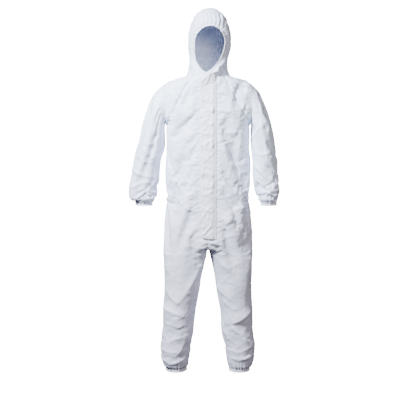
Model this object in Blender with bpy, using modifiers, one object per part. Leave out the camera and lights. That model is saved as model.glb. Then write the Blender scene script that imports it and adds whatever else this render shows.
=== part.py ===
"""A hooded protective coverall as worn: cut panels, raglan sleeves, hood, elastics, zip and storm flap.

Metres, +Z up. The suit faces -Y, so its wearer's left is +X. z = 0 is the plane of the two ankle hems.
Body, sleeves and hood are thin sheets. The tables give their outer surface by sections; the code joins the
rows. The zip and its flap are laid out in the zip line's frame: x across, y inwards, z up the line from its top.
"""

import math

import bmesh
import bpy
from mathutils import Matrix, Vector

# Sheet and seams
FABRIC = 0.0008  # thickness of the laminate with its seam allowance
SEAM = 0.0002  # from a seam's line to the edge of either piece sewn there
SQUARENESS = 2.3  # power of the superellipse sections; 2 is an ellipse
PANEL_COLUMNS = 8  # faces across one quarter of the body
TUBE_COLUMNS = 16  # faces round a sleeve
HOOD_COLUMNS = 24  # faces round the hood

# Front line: the zip runs straight down from the neck, leaning forward as it goes
NECK_Z = 1.312
ZIP_TOP_Z = 1.300
FRONT_AT_ZIP_TOP = 0.112
FRONT_LEAN = 0.0235  # further forward for each metre down
ZIP_LENGTH = 0.684
ZIP_BOTTOM_Z = ZIP_TOP_Z - ZIP_LENGTH
ZIP_SLOT = 0.0052  # half the gap between the two front panels at the zip
SLOT_RUNOUT = 0.004  # how far below the zip the gap keeps its width
SLOT_END = 0.012  # how far below the zip the two fronts meet

# Crotch seam: from the front line at the first height round to the inseam at the second
CROTCH_TOP_Z = 0.600
CROTCH_Z = 0.550
CROTCH_ROWS = 5
HIP_Z, THIGH_Z = 0.665, 0.455  # between these the sides pass from the torso's section to the leg's

# Body above the crotch: height, half width, depth of the back
TORSO = [
    (0.600, 0.202, 0.138),
    (0.650, 0.201, 0.143),
    (0.710, 0.193, 0.136),
    (0.752, 0.183, 0.116),
    (0.766, 0.180, 0.108),
    (0.780, 0.182, 0.112),
    (0.820, 0.184, 0.118),
    (0.900, 0.182, 0.118),
    (0.990, 0.174, 0.120),
    (1.050, 0.180, 0.124),
    (1.100, 0.186, 0.126),
    (1.140, 0.205, 0.126),
    (1.190, 0.216, 0.122),
    (1.230, 0.216, 0.115),
    (1.262, 0.203, 0.106),
    (1.276, 0.187, 0.100),
    (1.290, 0.158, 0.093),
    (1.302, 0.125, 0.086),
    (NECK_Z, 0.096, 0.079),
]

# Leg below the crotch: height, centre from the middle, half width, depth of the front, depth of the back
LEG = [
    (0.000, 0.142, 0.048, 0.058, 0.060),
    (0.014, 0.142, 0.048, 0.058, 0.060),
    (0.030, 0.144, 0.056, 0.065, 0.068),
    (0.055, 0.145, 0.063, 0.070, 0.075),
    (0.110, 0.144, 0.069, 0.075, 0.085),
    (0.190, 0.135, 0.069, 0.079, 0.086),
    (0.270, 0.131, 0.071, 0.086, 0.082),
    (0.360, 0.118, 0.076, 0.091, 0.093),
    (0.460, 0.111, 0.083, 0.099, 0.106),
    (0.520, 0.104, 0.090, 0.105, 0.117),
    (CROTCH_Z, 0.099, 0.097, 0.110, 0.126),
]

# Sleeve from armhole to cuff: inner edge x, z; outer edge x, z; half depth; forward; then how much further
# out the right sleeve's inner and outer edges hang than the left's
SLEEVE = [
    (0.1878, 1.100, 0.1878, 1.275, 0.066, 0.000, 0.000, 0.000),
    (0.1885, 1.090, 0.2210, 1.238, 0.074, 0.000, 0.000, 0.008),
    (0.1885, 1.075, 0.2530, 1.180, 0.079, 0.000, 0.000, 0.008),
    (0.1880, 1.050, 0.2765, 1.118, 0.080, 0.002, 0.000, 0.009),
    (0.1885, 1.010, 0.2950, 1.045, 0.078, 0.005, 0.002, 0.013),
    (0.2000, 0.950, 0.3080, 0.965, 0.074, 0.010, 0.014, 0.022),
    (0.2040, 0.895, 0.3130, 0.900, 0.069, 0.016, 0.018, 0.030),
    (0.2110, 0.840, 0.3170, 0.840, 0.064, 0.024, 0.013, 0.031),
    (0.2160, 0.795, 0.3130, 0.795, 0.057, 0.030, 0.006, 0.033),
    (0.2220, 0.772, 0.3060, 0.772, 0.047, 0.033, 0.011, 0.020),
    (0.2300, 0.758, 0.3020, 0.758, 0.038, 0.034, 0.013, 0.016),
    (0.2300, 0.746, 0.3020, 0.746, 0.038, 0.034, 0.013, 0.016),
]
ARMHOLE_X = 0.1855
SHOULDER = Vector((0.197, 0.0, 1.281))  # the left sleeve turns about this point as the arm is raised

# Raglan seam, in front view (x, z): straight from the neck to the underarm
RAGLAN_NECK = (0.058, 1.330)
RAGLAN_UNDERARM = (0.192, 1.075)
YOKE_LOW_Z = 1.04  # the yoke's sheet starts as body rows above this height, before it is trimmed

# Hood: height, half width, depth of the front, depth of the back
HOOD = [
    (NECK_Z + 0.0005, 0.096, 0.112, 0.079),
    (1.335, 0.087, 0.111, 0.081),
    (1.380, 0.083, 0.108, 0.096),
    (1.434, 0.092, 0.108, 0.122),
    (1.487, 0.093, 0.112, 0.131),
    (1.514, 0.088, 0.110, 0.127),
    (1.540, 0.079, 0.102, 0.115),
    (1.566, 0.066, 0.086, 0.096),
    (1.588, 0.046, 0.060, 0.066),
    (1.599, 0.024, 0.032, 0.035),
]
HOOD_TOP_Z = 1.6035
NAPE = Vector((0.0, 0.083, NECK_Z))  # the hood turns about this point as it folds back
CENTRE_STRIP = 0.045  # half width of the hood's centre panel
CHIN_DIVIDE_Z = 1.410  # below this, in front, the two side panels reach the middle
HOOD_CUT = 0.3  # how far the hood's cutters reach sideways, forwards and back
HOOD_CUT_LOW, HOOD_CUT_HIGH = 1.2, 1.7
STRIP_FRONT_Y = -0.02  # below the chin divide the centre strip's cutter starts behind this
CROWN_Y = 0.002

# Face opening: an egg, round above and narrowing to the chin
FACE_CENTRE = Vector((0.003, 0.0, 1.450))
FACE_HALF_WIDTH = 0.067
FACE_UP = 0.077
FACE_DOWN = 0.121
FACE_NARROWING = 1.3  # power of the lower half; 1 is an ellipse
FACE_POINTS = 40

# Elastics: how far inside the sheet they lie, and their own thickness
ELASTIC_INSET = 0.0022
ELASTIC = 0.0006
FACE_CORD_RADIUS = 0.0017
FACE_CORD_INSET = 0.0042  # from the hood's outer surface to the cord's middle
FACE_CORD_MARGIN = 0.004  # from the opening's edge to the cord's middle
WAIST_ELASTIC_Z = (0.771, 0.766, 0.761)
ANKLE_ELASTIC_Z = (0.011, 0.003)
CUFF_ELASTIC_Z = (0.756, 0.749)

# Label
LABEL_Z = (1.296, 1.282, 1.268)
LABEL_X = (-0.018, 0.0, 0.018)
LABEL = 0.0003

# Zip, in the zip line's frame
COIL_RADIUS = 0.0015
COIL_X = 0.00215
COIL_Y = 0.0019
TAPE_X = (0.0040, 0.0160)
COIL_TOP = -0.006
COIL_SIDES = 10
BOTTOM_STOP_ROOM = -0.004
TAPE_Y = (0.0020, 0.0026)
TAPE_TOP = -0.003
TOP_STOP_X = (0.0008, 0.0036)
TOP_STOP_Y = (0.0006, 0.0032)
TOP_STOP_Z = (-0.0056, -0.0030)
BOTTOM_STOP = ((-0.0036, 0.0004, -0.6838), (0.0036, 0.0034, -0.6804))
SLIDER_LENGTH = 0.012
SLIDER_TOP = -0.0065
SLIDER_HALF_WIDTH = 0.0046
PULL_LENGTH = 0.0145
PULL_AXIS = Vector((0.0, -0.0026, SLIDER_TOP - SLIDER_LENGTH / 2))

# Slider, about its middle: y of its front and back plates, then the bridge between them and the arch's two
# posts and bar, each as its low and high corners
FRONT_PLATE_Y = (-0.0016, -0.0003)
BACK_PLATE_Y = (0.0038, 0.0050)
BRIDGE = ((-0.00025, -0.0010, 0.0020), (0.00025, 0.0045, 0.0055))
ARCH = [
    ((-0.0007, -0.0044, 0.0020), (0.0007, -0.0010, 0.0029)),
    ((-0.0007, -0.0044, -0.0029), (0.0007, -0.0010, -0.0020)),
    ((-0.0007, -0.0044, -0.0029), (0.0007, -0.0036, 0.0029)),
]

# Pull, about its hinge: the tab and its window, each as its low and high corners
PULL_TAB = ((-0.0030, -0.0005, -PULL_LENGTH), (0.0030, 0.0005, 0.0005))
PULL_WINDOW = ((-0.0015, -0.002, -0.0052), (0.0015, 0.002, -0.0005))

# Storm flap and chin flap, in the zip line's frame
FLAP_HINGE = Vector((0.0325, -0.0008, 0.0))
FLAP_ENDS = (-0.038, -0.652)
FLAP_PROFILE = [
    (0.0322, -0.0019),
    (0.0285, -0.0038),
    (0.0235, -0.0059),
    (0.0180, -0.0070),
    (-0.0300, -0.0070),
]
FLAP_STEPS = 4
STRIP_X = (-0.0280, -0.0160)
STRIP_Y = (-0.0059, -0.0056)
STRIP_MARGIN = 0.006  # from the flap's ends to the adhesive strip's
CHIN_ENDS = (0.029, -0.0345)
CHIN_STEPS = 5
CHIN_FREE_EDGE = (0.0035, -0.0330)
CHIN_PROFILE = [(0.0300, -0.0020), (0.0250, -0.0085), (0.0170, -0.0150), (0.0080, -0.0187)]
CHIN_STANDOFF = -0.0190

COLOURS = {
    "laminate": ((0.90, 0.91, 0.94), 0.62),
    "elastic": ((0.86, 0.85, 0.82), 0.80),
    "tape": ((0.89, 0.89, 0.88), 0.75),
    "plastic": ((0.88, 0.88, 0.87), 0.38),
    "adhesive": ((0.80, 0.76, 0.66), 0.45),
    "label": ((0.93, 0.93, 0.92), 0.55),
}


# Building blocks


def clear_scene():
    for old in list(bpy.data.objects):
        bpy.data.objects.remove(old)


def collection(name):
    made = bpy.data.collections.new(name)
    bpy.context.scene.collection.children.link(made)
    return made


def material(name):
    colour, roughness = COLOURS[name]
    made = bpy.data.materials.new(name)
    made.use_nodes = True
    shader = made.node_tree.nodes["Principled BSDF"]
    shader.inputs["Base Color"].default_value = (*colour, 1.0)
    shader.inputs["Roughness"].default_value = roughness
    shader.inputs["Metallic"].default_value = 0.0
    return made


def empty(name, location, parent=None):
    made = bpy.data.objects.new(name, None)
    made.location = location
    made.parent = parent
    parts.objects.link(made)
    return made


def place(obj, home, finish=None, parent=None, in_world=False):
    """Put the object in its collection and under its parent. in_world: its mesh is in world coordinates."""
    for linked in list(obj.users_collection):
        linked.objects.unlink(obj)
    home.objects.link(obj)
    if parent:
        obj.parent = parent
    if in_world and parent:
        obj.matrix_parent_inverse = Matrix.Translation(-parent.location)
    if finish:
        obj.data.materials.clear()
        obj.data.materials.append(finishes[finish])
    return obj


def grid_mesh(name, rows, closed, tip=None):
    """Faces between neighbouring rows, top row first. Rows run clockwise from above, so faces look out."""
    bm = bmesh.new()
    grid = [[bm.verts.new(point) for point in row] for row in rows]
    count = len(grid[0])
    spans = count if closed else count - 1
    for upper, lower in zip(grid, grid[1:]):
        for i in range(spans):
            j = (i + 1) % count
            bm.faces.new((upper[i], upper[j], lower[j], lower[i]))
    if tip:
        peak = bm.verts.new(tip)
        for i in range(spans):
            bm.faces.new((peak, grid[0][(i + 1) % count], grid[0][i]))
    mesh = bpy.data.meshes.new(name)
    bm.to_mesh(mesh)
    bm.free()
    return mesh


def trim(mesh, point, away):
    """Cut the open sheet on the plane through the point and drop the side that away points to."""
    bm = bmesh.new()
    bm.from_mesh(mesh)
    everything = bm.verts[:] + bm.edges[:] + bm.faces[:]
    bmesh.ops.bisect_plane(
        bm, geom=everything, dist=1e-7, plane_co=point, plane_no=away, clear_outer=True
    )
    bm.to_mesh(mesh)
    bm.free()


def sheet(mesh, home, finish, parent=None, in_world=False, thickness=FABRIC):
    """An object for the open mesh, thickened inwards."""
    obj = bpy.data.objects.new(mesh.name, mesh)
    thick = obj.modifiers.new("thickness", "SOLIDIFY")
    thick.thickness = thickness
    thick.offset = -1
    mesh.shade_smooth()
    mesh.set_sharp_from_angle(angle=math.radians(40))
    return place(obj, home, finish, parent, in_world)


def box(name, low, high, home, finish=None, parent=None):
    bpy.ops.mesh.primitive_cube_add(size=1)
    obj = bpy.context.active_object
    obj.name = name
    size = Vector(high) - Vector(low)
    middle = (Vector(high) + Vector(low)) / 2
    obj.data.transform(Matrix.Translation(middle) @ Matrix.Diagonal((*size, 1.0)))
    return place(obj, home, finish, parent)


def combine(obj, other, operation):
    step = obj.modifiers.new(operation.lower(), "BOOLEAN")
    step.object = other
    step.operation = operation
    step.solver = "EXACT"
    other.hide_render = True
    other.display_type = "WIRE"


def prism(name, outline, axis, low, high):
    """A cutter: the outline, given in the other two axes in order, stretched along the axis."""
    bm = bmesh.new()
    others = [i for i in range(3) if i != axis]
    rings = []
    for level in (low, high):
        ring = []
        for pair in outline:
            point = [0.0, 0.0, 0.0]
            point[axis] = level
            point[others[0]], point[others[1]] = pair
            ring.append(bm.verts.new(point))
        rings.append(ring)
    near, far = rings
    for i in range(len(near)):
        j = (i + 1) % len(near)
        bm.faces.new((near[i], near[j], far[j], far[i]))
    bm.faces.new(near)
    bm.faces.new(far)
    bmesh.ops.recalc_face_normals(bm, faces=bm.faces[:])
    mesh = bpy.data.meshes.new(name)
    bm.to_mesh(mesh)
    bm.free()
    return place(bpy.data.objects.new(name, mesh), cutters)


# Surfaces


def between(table, z):
    """The table's row at height z, every value on a straight line between its neighbours'."""
    rows = sorted(table)
    for low, high in zip(rows, rows[1:]):
        if z <= high[0]:
            share = (z - low[0]) / (high[0] - low[0])
            return [a + (b - a) * share for a, b in zip(low, high)]
    return list(rows[-1])


def squared(value):
    return max(value, 0.0) ** (2 / SQUARENESS)


def front_depth(z):
    return FRONT_AT_ZIP_TOP + max(0.0, ZIP_TOP_Z - z) * FRONT_LEAN


def torso_point(z, share, face):
    """On the left half, share 0 is the centre line and 1 the side seam. face -1 is the front, 1 the back."""
    _, half_width, back = between(TORSO, max(z, CROTCH_TOP_Z))
    depth = back if face > 0 else front_depth(z)
    angle = share * math.pi / 2
    return Vector((half_width * squared(math.sin(angle)), face * depth * squared(math.cos(angle)), z))


def leg_point(z, share, face):
    """On the left leg, share 0 is the inseam and 1 the side seam."""
    _, centre, half_width, front, back = between(LEG, min(z, CROTCH_Z))
    depth = back if face > 0 else front
    angle = share * math.pi
    return Vector((centre - half_width * math.cos(angle), face * depth * math.sin(angle), z))


def body_point(z, share, face):
    """Torso above the crotch, leg below it: the change is sudden along the crotch seam, slow at the side."""
    fall = min(max((CROTCH_TOP_Z - z) / (CROTCH_TOP_Z - CROTCH_Z), 0.0), 1.0)
    at_seam = 1.0 - math.sqrt(1.0 - fall * fall)
    slow = min(max((HIP_Z - z) / (HIP_Z - THIGH_Z), 0.0), 1.0)
    at_side = slow * slow * (3.0 - 2.0 * slow)
    to_leg = at_seam + (at_side - at_seam) * min(share * 2.0, 1.0) ** 2
    return torso_point(z, share, face).lerp(leg_point(z, share, face), to_leg)


def panel_row(z, side, face, inset=0.0):
    """One quarter's row from the centre line or inseam to the side seam, clockwise seen from above."""
    slot = ZIP_SLOT if face < 0 and z > ZIP_BOTTOM_Z - SLOT_RUNOUT else SEAM
    row = []
    for i in range(PANEL_COLUMNS + 1):
        point = body_point(z, i / PANEL_COLUMNS, face)
        across = max(point.x - inset * math.sin(i / PANEL_COLUMNS * math.pi / 2), slot)
        depth = max(abs(point.y) - inset, SEAM)
        row.append(Vector((side * across, face * depth, z)))
    return row[::-1] if side * face < 0 else row


def body_heights():
    """Every height at which the body has a row, from the neck down."""
    steps = [i / CROTCH_ROWS for i in range(1, CROTCH_ROWS)]
    drop = CROTCH_TOP_Z - CROTCH_Z
    crotch = [CROTCH_TOP_Z - drop * math.sin(step * math.pi / 2) for step in steps]
    slot = {ZIP_BOTTOM_Z, ZIP_BOTTOM_Z - SLOT_END}
    heights = {row[0] for row in TORSO} | {row[0] for row in LEG} | set(crotch) | slot
    return sorted(heights, reverse=True)


def sleeve_rows(side, inset=0.0, first=0):
    """Rows round the sleeve from the armhole down. The right sleeve mirrors the left, hung further out."""
    rows = []
    for inner_x, inner_z, outer_x, outer_z, depth, forward, inner_more, outer_more in SLEEVE[first:]:
        more = (inner_more, outer_more) if side < 0 else (0.0, 0.0)
        inner = Vector((inner_x + more[0], -forward, inner_z))
        outer = Vector((outer_x + more[1], -forward, outer_z))
        middle = (inner + outer) / 2
        reach = (outer - inner) / 2
        reach *= (reach.length - inset) / reach.length
        row = []
        for i in range(TUBE_COLUMNS):
            angle = 2 * math.pi * i / TUBE_COLUMNS
            point = middle + reach * math.cos(angle) + Vector((0, -(depth - inset) * math.sin(angle), 0))
            row.append(Vector((side * point.x, point.y, point.z)))
        rows.append(row if side > 0 else row[::-1])
    return rows


def hood_rows():
    rows = []
    for z, half_width, front, back in reversed(HOOD):
        row = []
        for i in range(HOOD_COLUMNS):
            angle = -2 * math.pi * i / HOOD_COLUMNS
            across = math.copysign(squared(abs(math.cos(angle))), math.cos(angle))
            along = math.copysign(squared(abs(math.sin(angle))), math.sin(angle))
            row.append(Vector((half_width * across, (back if along > 0 else front) * along, z)))
        rows.append(row)
    return rows


def hood_front(x, z):
    _, half_width, front, _ = between(HOOD, z)
    share = min(abs(x) / half_width, 0.999)
    return Vector((x, -front * (1 - share**SQUARENESS) ** (1 / SQUARENESS), z))


def face_outline(grow=0.0):
    """The face opening in front view, as x, z pairs."""
    points = []
    for i in range(FACE_POINTS):
        angle = 2 * math.pi * i / FACE_POINTS
        up, across = math.sin(angle), math.cos(angle)
        power = 1.0 if up > 0 else FACE_NARROWING
        x = FACE_CENTRE.x + math.copysign(abs(across) ** power, across) * (FACE_HALF_WIDTH + grow)
        z = FACE_CENTRE.z + up * ((FACE_UP if up > 0 else FACE_DOWN) + grow)
        points.append((x, z))
    return points


# Fabric pieces


def trim_at_raglan(mesh, side, dropped):
    """Cut at the raglan seam and drop the part outside it (dropped 1) or inside it (-1)."""
    along = Vector((RAGLAN_NECK[0] - RAGLAN_UNDERARM[0], 0, RAGLAN_NECK[1] - RAGLAN_UNDERARM[1]))
    away = Vector((along.z * side, 0, -along.x)).normalized() * dropped
    on_seam = Vector((RAGLAN_UNDERARM[0] * side, 0, RAGLAN_UNDERARM[1]))
    trim(mesh, on_seam - away * SEAM, away)


def make_panel(name, side, face):
    mesh = grid_mesh(name, [panel_row(z, side, face) for z in body_heights()], closed=False)
    trim_at_raglan(mesh, side, 1)
    sheet(mesh, parts, "laminate")


def make_yoke(name, side):
    """The part of the raglan sleeve that lies on the shoulder, between its two seams and the armhole."""
    rows = []
    for z in body_heights():
        if z < YOKE_LOW_Z:
            break
        front = panel_row(z, side, -1)
        back = panel_row(z, side, 1)
        rows.append(front[:-1] + back[1:] if side < 0 else back[:-1] + front[1:])
    for row in rows:
        row[PANEL_COLUMNS].y = 0.0
    mesh = grid_mesh(name, rows, closed=False)
    trim_at_raglan(mesh, side, -1)
    trim(mesh, Vector((ARMHOLE_X * side, 0, 0)), Vector((side, 0, 0)))
    sheet(mesh, parts, "laminate")


def make_sleeve(name, side, hinge):
    mesh = grid_mesh(name, sleeve_rows(side), closed=True)
    sheet(mesh, parts, "laminate", hinge, in_world=True)


def make_hood(hinge):
    """Two side panels and a centre panel that runs from the forehead over the crown to the nape."""
    face = prism("face_opening", face_outline(), 1, -HOOD_CUT, 0.0)
    outline = [
        (-HOOD_CUT, CHIN_DIVIDE_Z),
        (-HOOD_CUT, HOOD_CUT_HIGH),
        (HOOD_CUT, HOOD_CUT_HIGH),
        (HOOD_CUT, HOOD_CUT_LOW),
        (STRIP_FRONT_Y, HOOD_CUT_LOW),
        (STRIP_FRONT_Y, CHIN_DIVIDE_Z),
    ]
    for name, gap, operation in (("centre", -SEAM, "INTERSECT"), ("side", SEAM, "DIFFERENCE")):
        strip = prism(f"hood_{name}_strip", outline, 0, -CENTRE_STRIP - gap, CENTRE_STRIP + gap)
        sides = (0,) if name == "centre" else (-1, 1)
        for side in sides:
            label = {0: "hood_centre_panel", -1: "hood_right_panel", 1: "hood_left_panel"}[side]
            mesh = grid_mesh(label, hood_rows(), closed=True, tip=Vector((0, CROWN_Y, HOOD_TOP_Z)))
            obj = sheet(mesh, parts, "laminate", hinge, in_world=True)
            combine(obj, face, "DIFFERENCE")
            combine(obj, strip, operation)
            if side:
                low, high = (ZIP_SLOT, -HOOD_CUT, HOOD_CUT_LOW), (HOOD_CUT, HOOD_CUT, HOOD_CUT_HIGH)
                half = box(f"{label}_half", low, high, cutters)
                half.scale.x = side
                combine(obj, half, "INTERSECT")


def make_face_elastic(hinge):
    """A cord in the hem of the face opening, just inside the sheet all the way round."""
    curve = bpy.data.curves.new("face_elastic", "CURVE")
    curve.dimensions = "3D"
    curve.bevel_depth = FACE_CORD_RADIUS
    curve.bevel_resolution = 1
    spline = curve.splines.new("POLY")
    outline = face_outline(grow=FACE_CORD_MARGIN)
    spline.points.add(len(outline) - 1)
    spline.use_cyclic_u = True
    small = 0.001
    for spot, (x, z) in zip(spline.points, outline):
        here = hood_front(x, z)
        across = hood_front(x + small, z) - here
        up = hood_front(x, z + small) - here
        inward = up.cross(across).normalized()
        if inward.y < 0:
            inward.negate()
        spot.co = (*(here + inward * FACE_CORD_INSET), 1.0)
    obj = bpy.data.objects.new("face_elastic", curve)
    place(obj, parts, "elastic", hinge, in_world=True)


# Elastics and label


def ring_sheet(name, rows, finish, parent=None):
    mesh = grid_mesh(name, rows, closed=True)
    return sheet(mesh, parts, finish, parent, in_world=True, thickness=ELASTIC)


def make_ankle_elastic(name, side):
    rows = []
    for z in ANKLE_ELASTIC_Z:
        _, centre, half_width, front, back = between(LEG, z)
        row = []
        for i in range(TUBE_COLUMNS):
            angle = -2 * math.pi * i / TUBE_COLUMNS
            depth = (back if math.sin(angle) > 0 else front) - ELASTIC_INSET
            across = side * centre + (half_width - ELASTIC_INSET) * math.cos(angle)
            row.append(Vector((across, depth * math.sin(angle), z)))
        rows.append(row)
    ring_sheet(name, rows, "elastic")


def make_cuff_elastic(name, side, hinge):
    rows = sleeve_rows(side, ELASTIC_INSET, first=len(SLEEVE) - 2)
    for row, z in zip(rows, CUFF_ELASTIC_Z):
        for point in row:
            point.z = z
    ring_sheet(name, rows, "elastic", hinge)


def make_waist_elastic():
    """Along the inside of the back, from one side seam to the other."""
    rows = []
    for z in WAIST_ELASTIC_Z:
        right = panel_row(z, -1, 1, ELASTIC_INSET)
        left = panel_row(z, 1, 1, ELASTIC_INSET)
        rows.append(right[:-1] + [Vector((0, right[-1].y, z))] + left[1:])
    mesh = grid_mesh("waist_elastic", rows, closed=False)
    sheet(mesh, parts, "elastic", thickness=ELASTIC)


def make_label():
    """A blank label inside the back of the neck."""
    rows = []
    for z in LABEL_Z:
        depth = between(TORSO, z)[2] - ELASTIC_INSET
        rows.append([Vector((x, depth, z)) for x in LABEL_X])
    mesh = grid_mesh("size_label", rows, closed=False)
    sheet(mesh, parts, "label", thickness=LABEL)


# Zip


def make_zip_sides(line):
    for name, side in (("left", 1), ("right", -1)):
        tape = sorted((side * TAPE_X[0], side * TAPE_X[1]))
        low, high = (tape[0], TAPE_Y[0], -ZIP_LENGTH), (tape[1], TAPE_Y[1], TAPE_TOP)
        box(f"zip_tape_{name}", low, high, parts, "tape", line)
        length = ZIP_LENGTH + COIL_TOP + BOTTOM_STOP_ROOM
        bpy.ops.mesh.primitive_cylinder_add(vertices=COIL_SIDES, radius=COIL_RADIUS, depth=length)
        coil = bpy.context.active_object
        coil.name = f"zip_coil_{name}"
        coil.data.transform(Matrix.Translation((side * COIL_X, COIL_Y, COIL_TOP - length / 2)))
        place(coil, parts, "plastic", line)
        low, high = zip(sorted(side * x for x in TOP_STOP_X), TOP_STOP_Y, TOP_STOP_Z)
        box(f"zip_top_stop_{name}", low, high, parts, "plastic", line)
    box("zip_bottom_stop", *BOTTOM_STOP, parts, "plastic", line)


def make_slider(travel):
    """Two plates joined by a thin bridge between the coils, and an arch in front that holds the pull."""
    half, side = SLIDER_LENGTH / 2, SLIDER_HALF_WIDTH
    front = ((-side, FRONT_PLATE_Y[0], -half), (side, FRONT_PLATE_Y[1], half))
    back = ((-side, BACK_PLATE_Y[0], -half), (side, BACK_PLATE_Y[1], half))
    body = box("zip_slider", *front, parts, "plastic", travel)
    for number, corners in enumerate([back, BRIDGE, *ARCH]):
        combine(body, box(f"slider_piece_{number}", *corners, cutters, parent=travel), "UNION")


def make_pull(hinge):
    """A tab with a window, whose top bar passes under the slider's arch."""
    tab = box("zip_pull", *PULL_TAB, parts, "plastic", hinge)
    window = box("pull_window", *PULL_WINDOW, cutters, parent=hinge)
    combine(tab, window, "DIFFERENCE")


# Flaps


def make_storm_flap(hinge):
    rows = []
    for i in range(FLAP_STEPS + 1):
        z = FLAP_ENDS[0] + (FLAP_ENDS[1] - FLAP_ENDS[0]) * i / FLAP_STEPS
        rows.append([Vector((x, y, z)) - FLAP_HINGE for x, y in FLAP_PROFILE])
    sheet(grid_mesh("storm_flap", rows, closed=False), parts, "laminate", hinge)
    low = Vector((STRIP_X[0], STRIP_Y[0], FLAP_ENDS[1] + STRIP_MARGIN)) - FLAP_HINGE
    high = Vector((STRIP_X[1], STRIP_Y[1], FLAP_ENDS[0] - STRIP_MARGIN)) - FLAP_HINGE
    box("flap_adhesive_strip", low, high, parts, "adhesive", hinge)


def make_chin_flap(hinge):
    """The flap's loose upper corner, which bows out over the top of the zip."""
    rows = []
    for i in range(CHIN_STEPS + 1):
        share = i / CHIN_STEPS
        z = CHIN_ENDS[0] + (CHIN_ENDS[1] - CHIN_ENDS[0]) * share
        free = CHIN_FREE_EDGE[0] + (CHIN_FREE_EDGE[1] - CHIN_FREE_EDGE[0]) * share
        near = CHIN_PROFILE[-1][0]
        edge = [(near + (free - near) * part, CHIN_STANDOFF) for part in (0.5, 1.0)]
        rows.append([Vector((x, y, z)) - FLAP_HINGE for x, y in CHIN_PROFILE + edge])
    sheet(grid_mesh("chin_flap", rows, closed=False), parts, "laminate", hinge)


def build():
    for side_name, side in (("left", 1), ("right", -1)):
        for face_name, face in (("front", -1), ("back", 1)):
            make_panel(f"{face_name}_{side_name}_panel", side, face)
        make_yoke(f"yoke_{side_name}", side)
        shoulder = empty(f"shoulder_{side_name}", (SHOULDER.x * side, SHOULDER.y, SHOULDER.z))
        make_sleeve(f"sleeve_{side_name}", side, shoulder)
        make_cuff_elastic(f"cuff_elastic_{side_name}", side, shoulder)
        make_ankle_elastic(f"ankle_elastic_{side_name}", side)
    make_waist_elastic()
    make_label()
    nape = empty("nape", NAPE)
    make_hood(nape)
    make_face_elastic(nape)
    line = empty("zip_line", (0.0, -FRONT_AT_ZIP_TOP, ZIP_TOP_Z))
    line.rotation_euler.x = -math.atan(FRONT_LEAN)
    make_zip_sides(line)
    travel = empty("slider_travel", (0.0, 0.0, PULL_AXIS.z), line)
    make_slider(travel)
    make_pull(empty("pull_hinge", (0.0, PULL_AXIS.y, 0.0), travel))
    flap_hinge = empty("flap_hinge", FLAP_HINGE, line)
    make_storm_flap(flap_hinge)
    make_chin_flap(flap_hinge)


clear_scene()
parts = collection("protective_coverall")
cutters = collection("cutters")
finishes = {name: material(name) for name in COLOURS}
build()
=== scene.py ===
"""The looks of the protective coverall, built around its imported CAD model.

Body, sleeves and hood are each one outer surface, on the sections of the CAD panels. A cloth simulation
over a hidden form slackens body and sleeves, folds and gathers crease all of them, and then body and hood
are cut into their panels along the seams.
Metres, +Z up, front to -Y; the wearer's left is +X.
"""

import math
import random

import bmesh
import bpy
import numpy as np
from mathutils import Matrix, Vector, noise
from mathutils.bvhtree import BVHTree


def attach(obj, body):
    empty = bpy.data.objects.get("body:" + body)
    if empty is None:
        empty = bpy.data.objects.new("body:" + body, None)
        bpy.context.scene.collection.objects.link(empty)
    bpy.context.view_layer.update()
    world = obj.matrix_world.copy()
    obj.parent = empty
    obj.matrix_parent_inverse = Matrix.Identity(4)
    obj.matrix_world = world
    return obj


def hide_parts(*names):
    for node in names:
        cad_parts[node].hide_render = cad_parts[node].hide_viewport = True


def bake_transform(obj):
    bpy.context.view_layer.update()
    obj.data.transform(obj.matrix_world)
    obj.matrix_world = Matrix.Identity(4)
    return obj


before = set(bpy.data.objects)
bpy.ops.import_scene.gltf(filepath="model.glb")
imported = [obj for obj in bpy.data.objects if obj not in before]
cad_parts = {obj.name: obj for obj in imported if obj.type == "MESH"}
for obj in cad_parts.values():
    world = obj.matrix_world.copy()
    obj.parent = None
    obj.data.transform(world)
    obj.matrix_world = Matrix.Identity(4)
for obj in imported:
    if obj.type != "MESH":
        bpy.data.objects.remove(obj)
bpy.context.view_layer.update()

# Sections of the CAD model. Each table's first column is the height, from the floor
SQUARENESS = 2.3
NECK_Z = 1.312
ZIP_TOP_Z = 1.300
FRONT_AT_ZIP_TOP = 0.112
FRONT_LEAN = 0.0235
CROTCH_TOP_Z = 0.600
CROTCH_Z = 0.550
HIP_Z, THIGH_Z, KNEE_Z = 0.665, 0.455, 0.300
LEG_BOXINESS = 0.5  # 0 makes the top of the leg an ellipse; more makes its front and its back flatter
TORSO = [
    # height, half width, depth of the back
    (0.600, 0.202, 0.138),
    (0.650, 0.201, 0.143),
    (0.710, 0.193, 0.136),
    (0.752, 0.183, 0.116),
    (0.766, 0.180, 0.108),
    (0.780, 0.182, 0.112),
    (0.820, 0.184, 0.118),
    (0.900, 0.182, 0.118),
    (0.990, 0.174, 0.120),
    (1.050, 0.180, 0.124),
    (1.100, 0.186, 0.126),
    (1.140, 0.205, 0.126),
    (1.190, 0.216, 0.122),
    (1.230, 0.216, 0.115),
    (1.262, 0.203, 0.106),
    (1.276, 0.187, 0.100),
    (1.290, 0.158, 0.093),
    (1.302, 0.125, 0.086),
    (NECK_Z, 0.096, 0.079),
]
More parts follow.
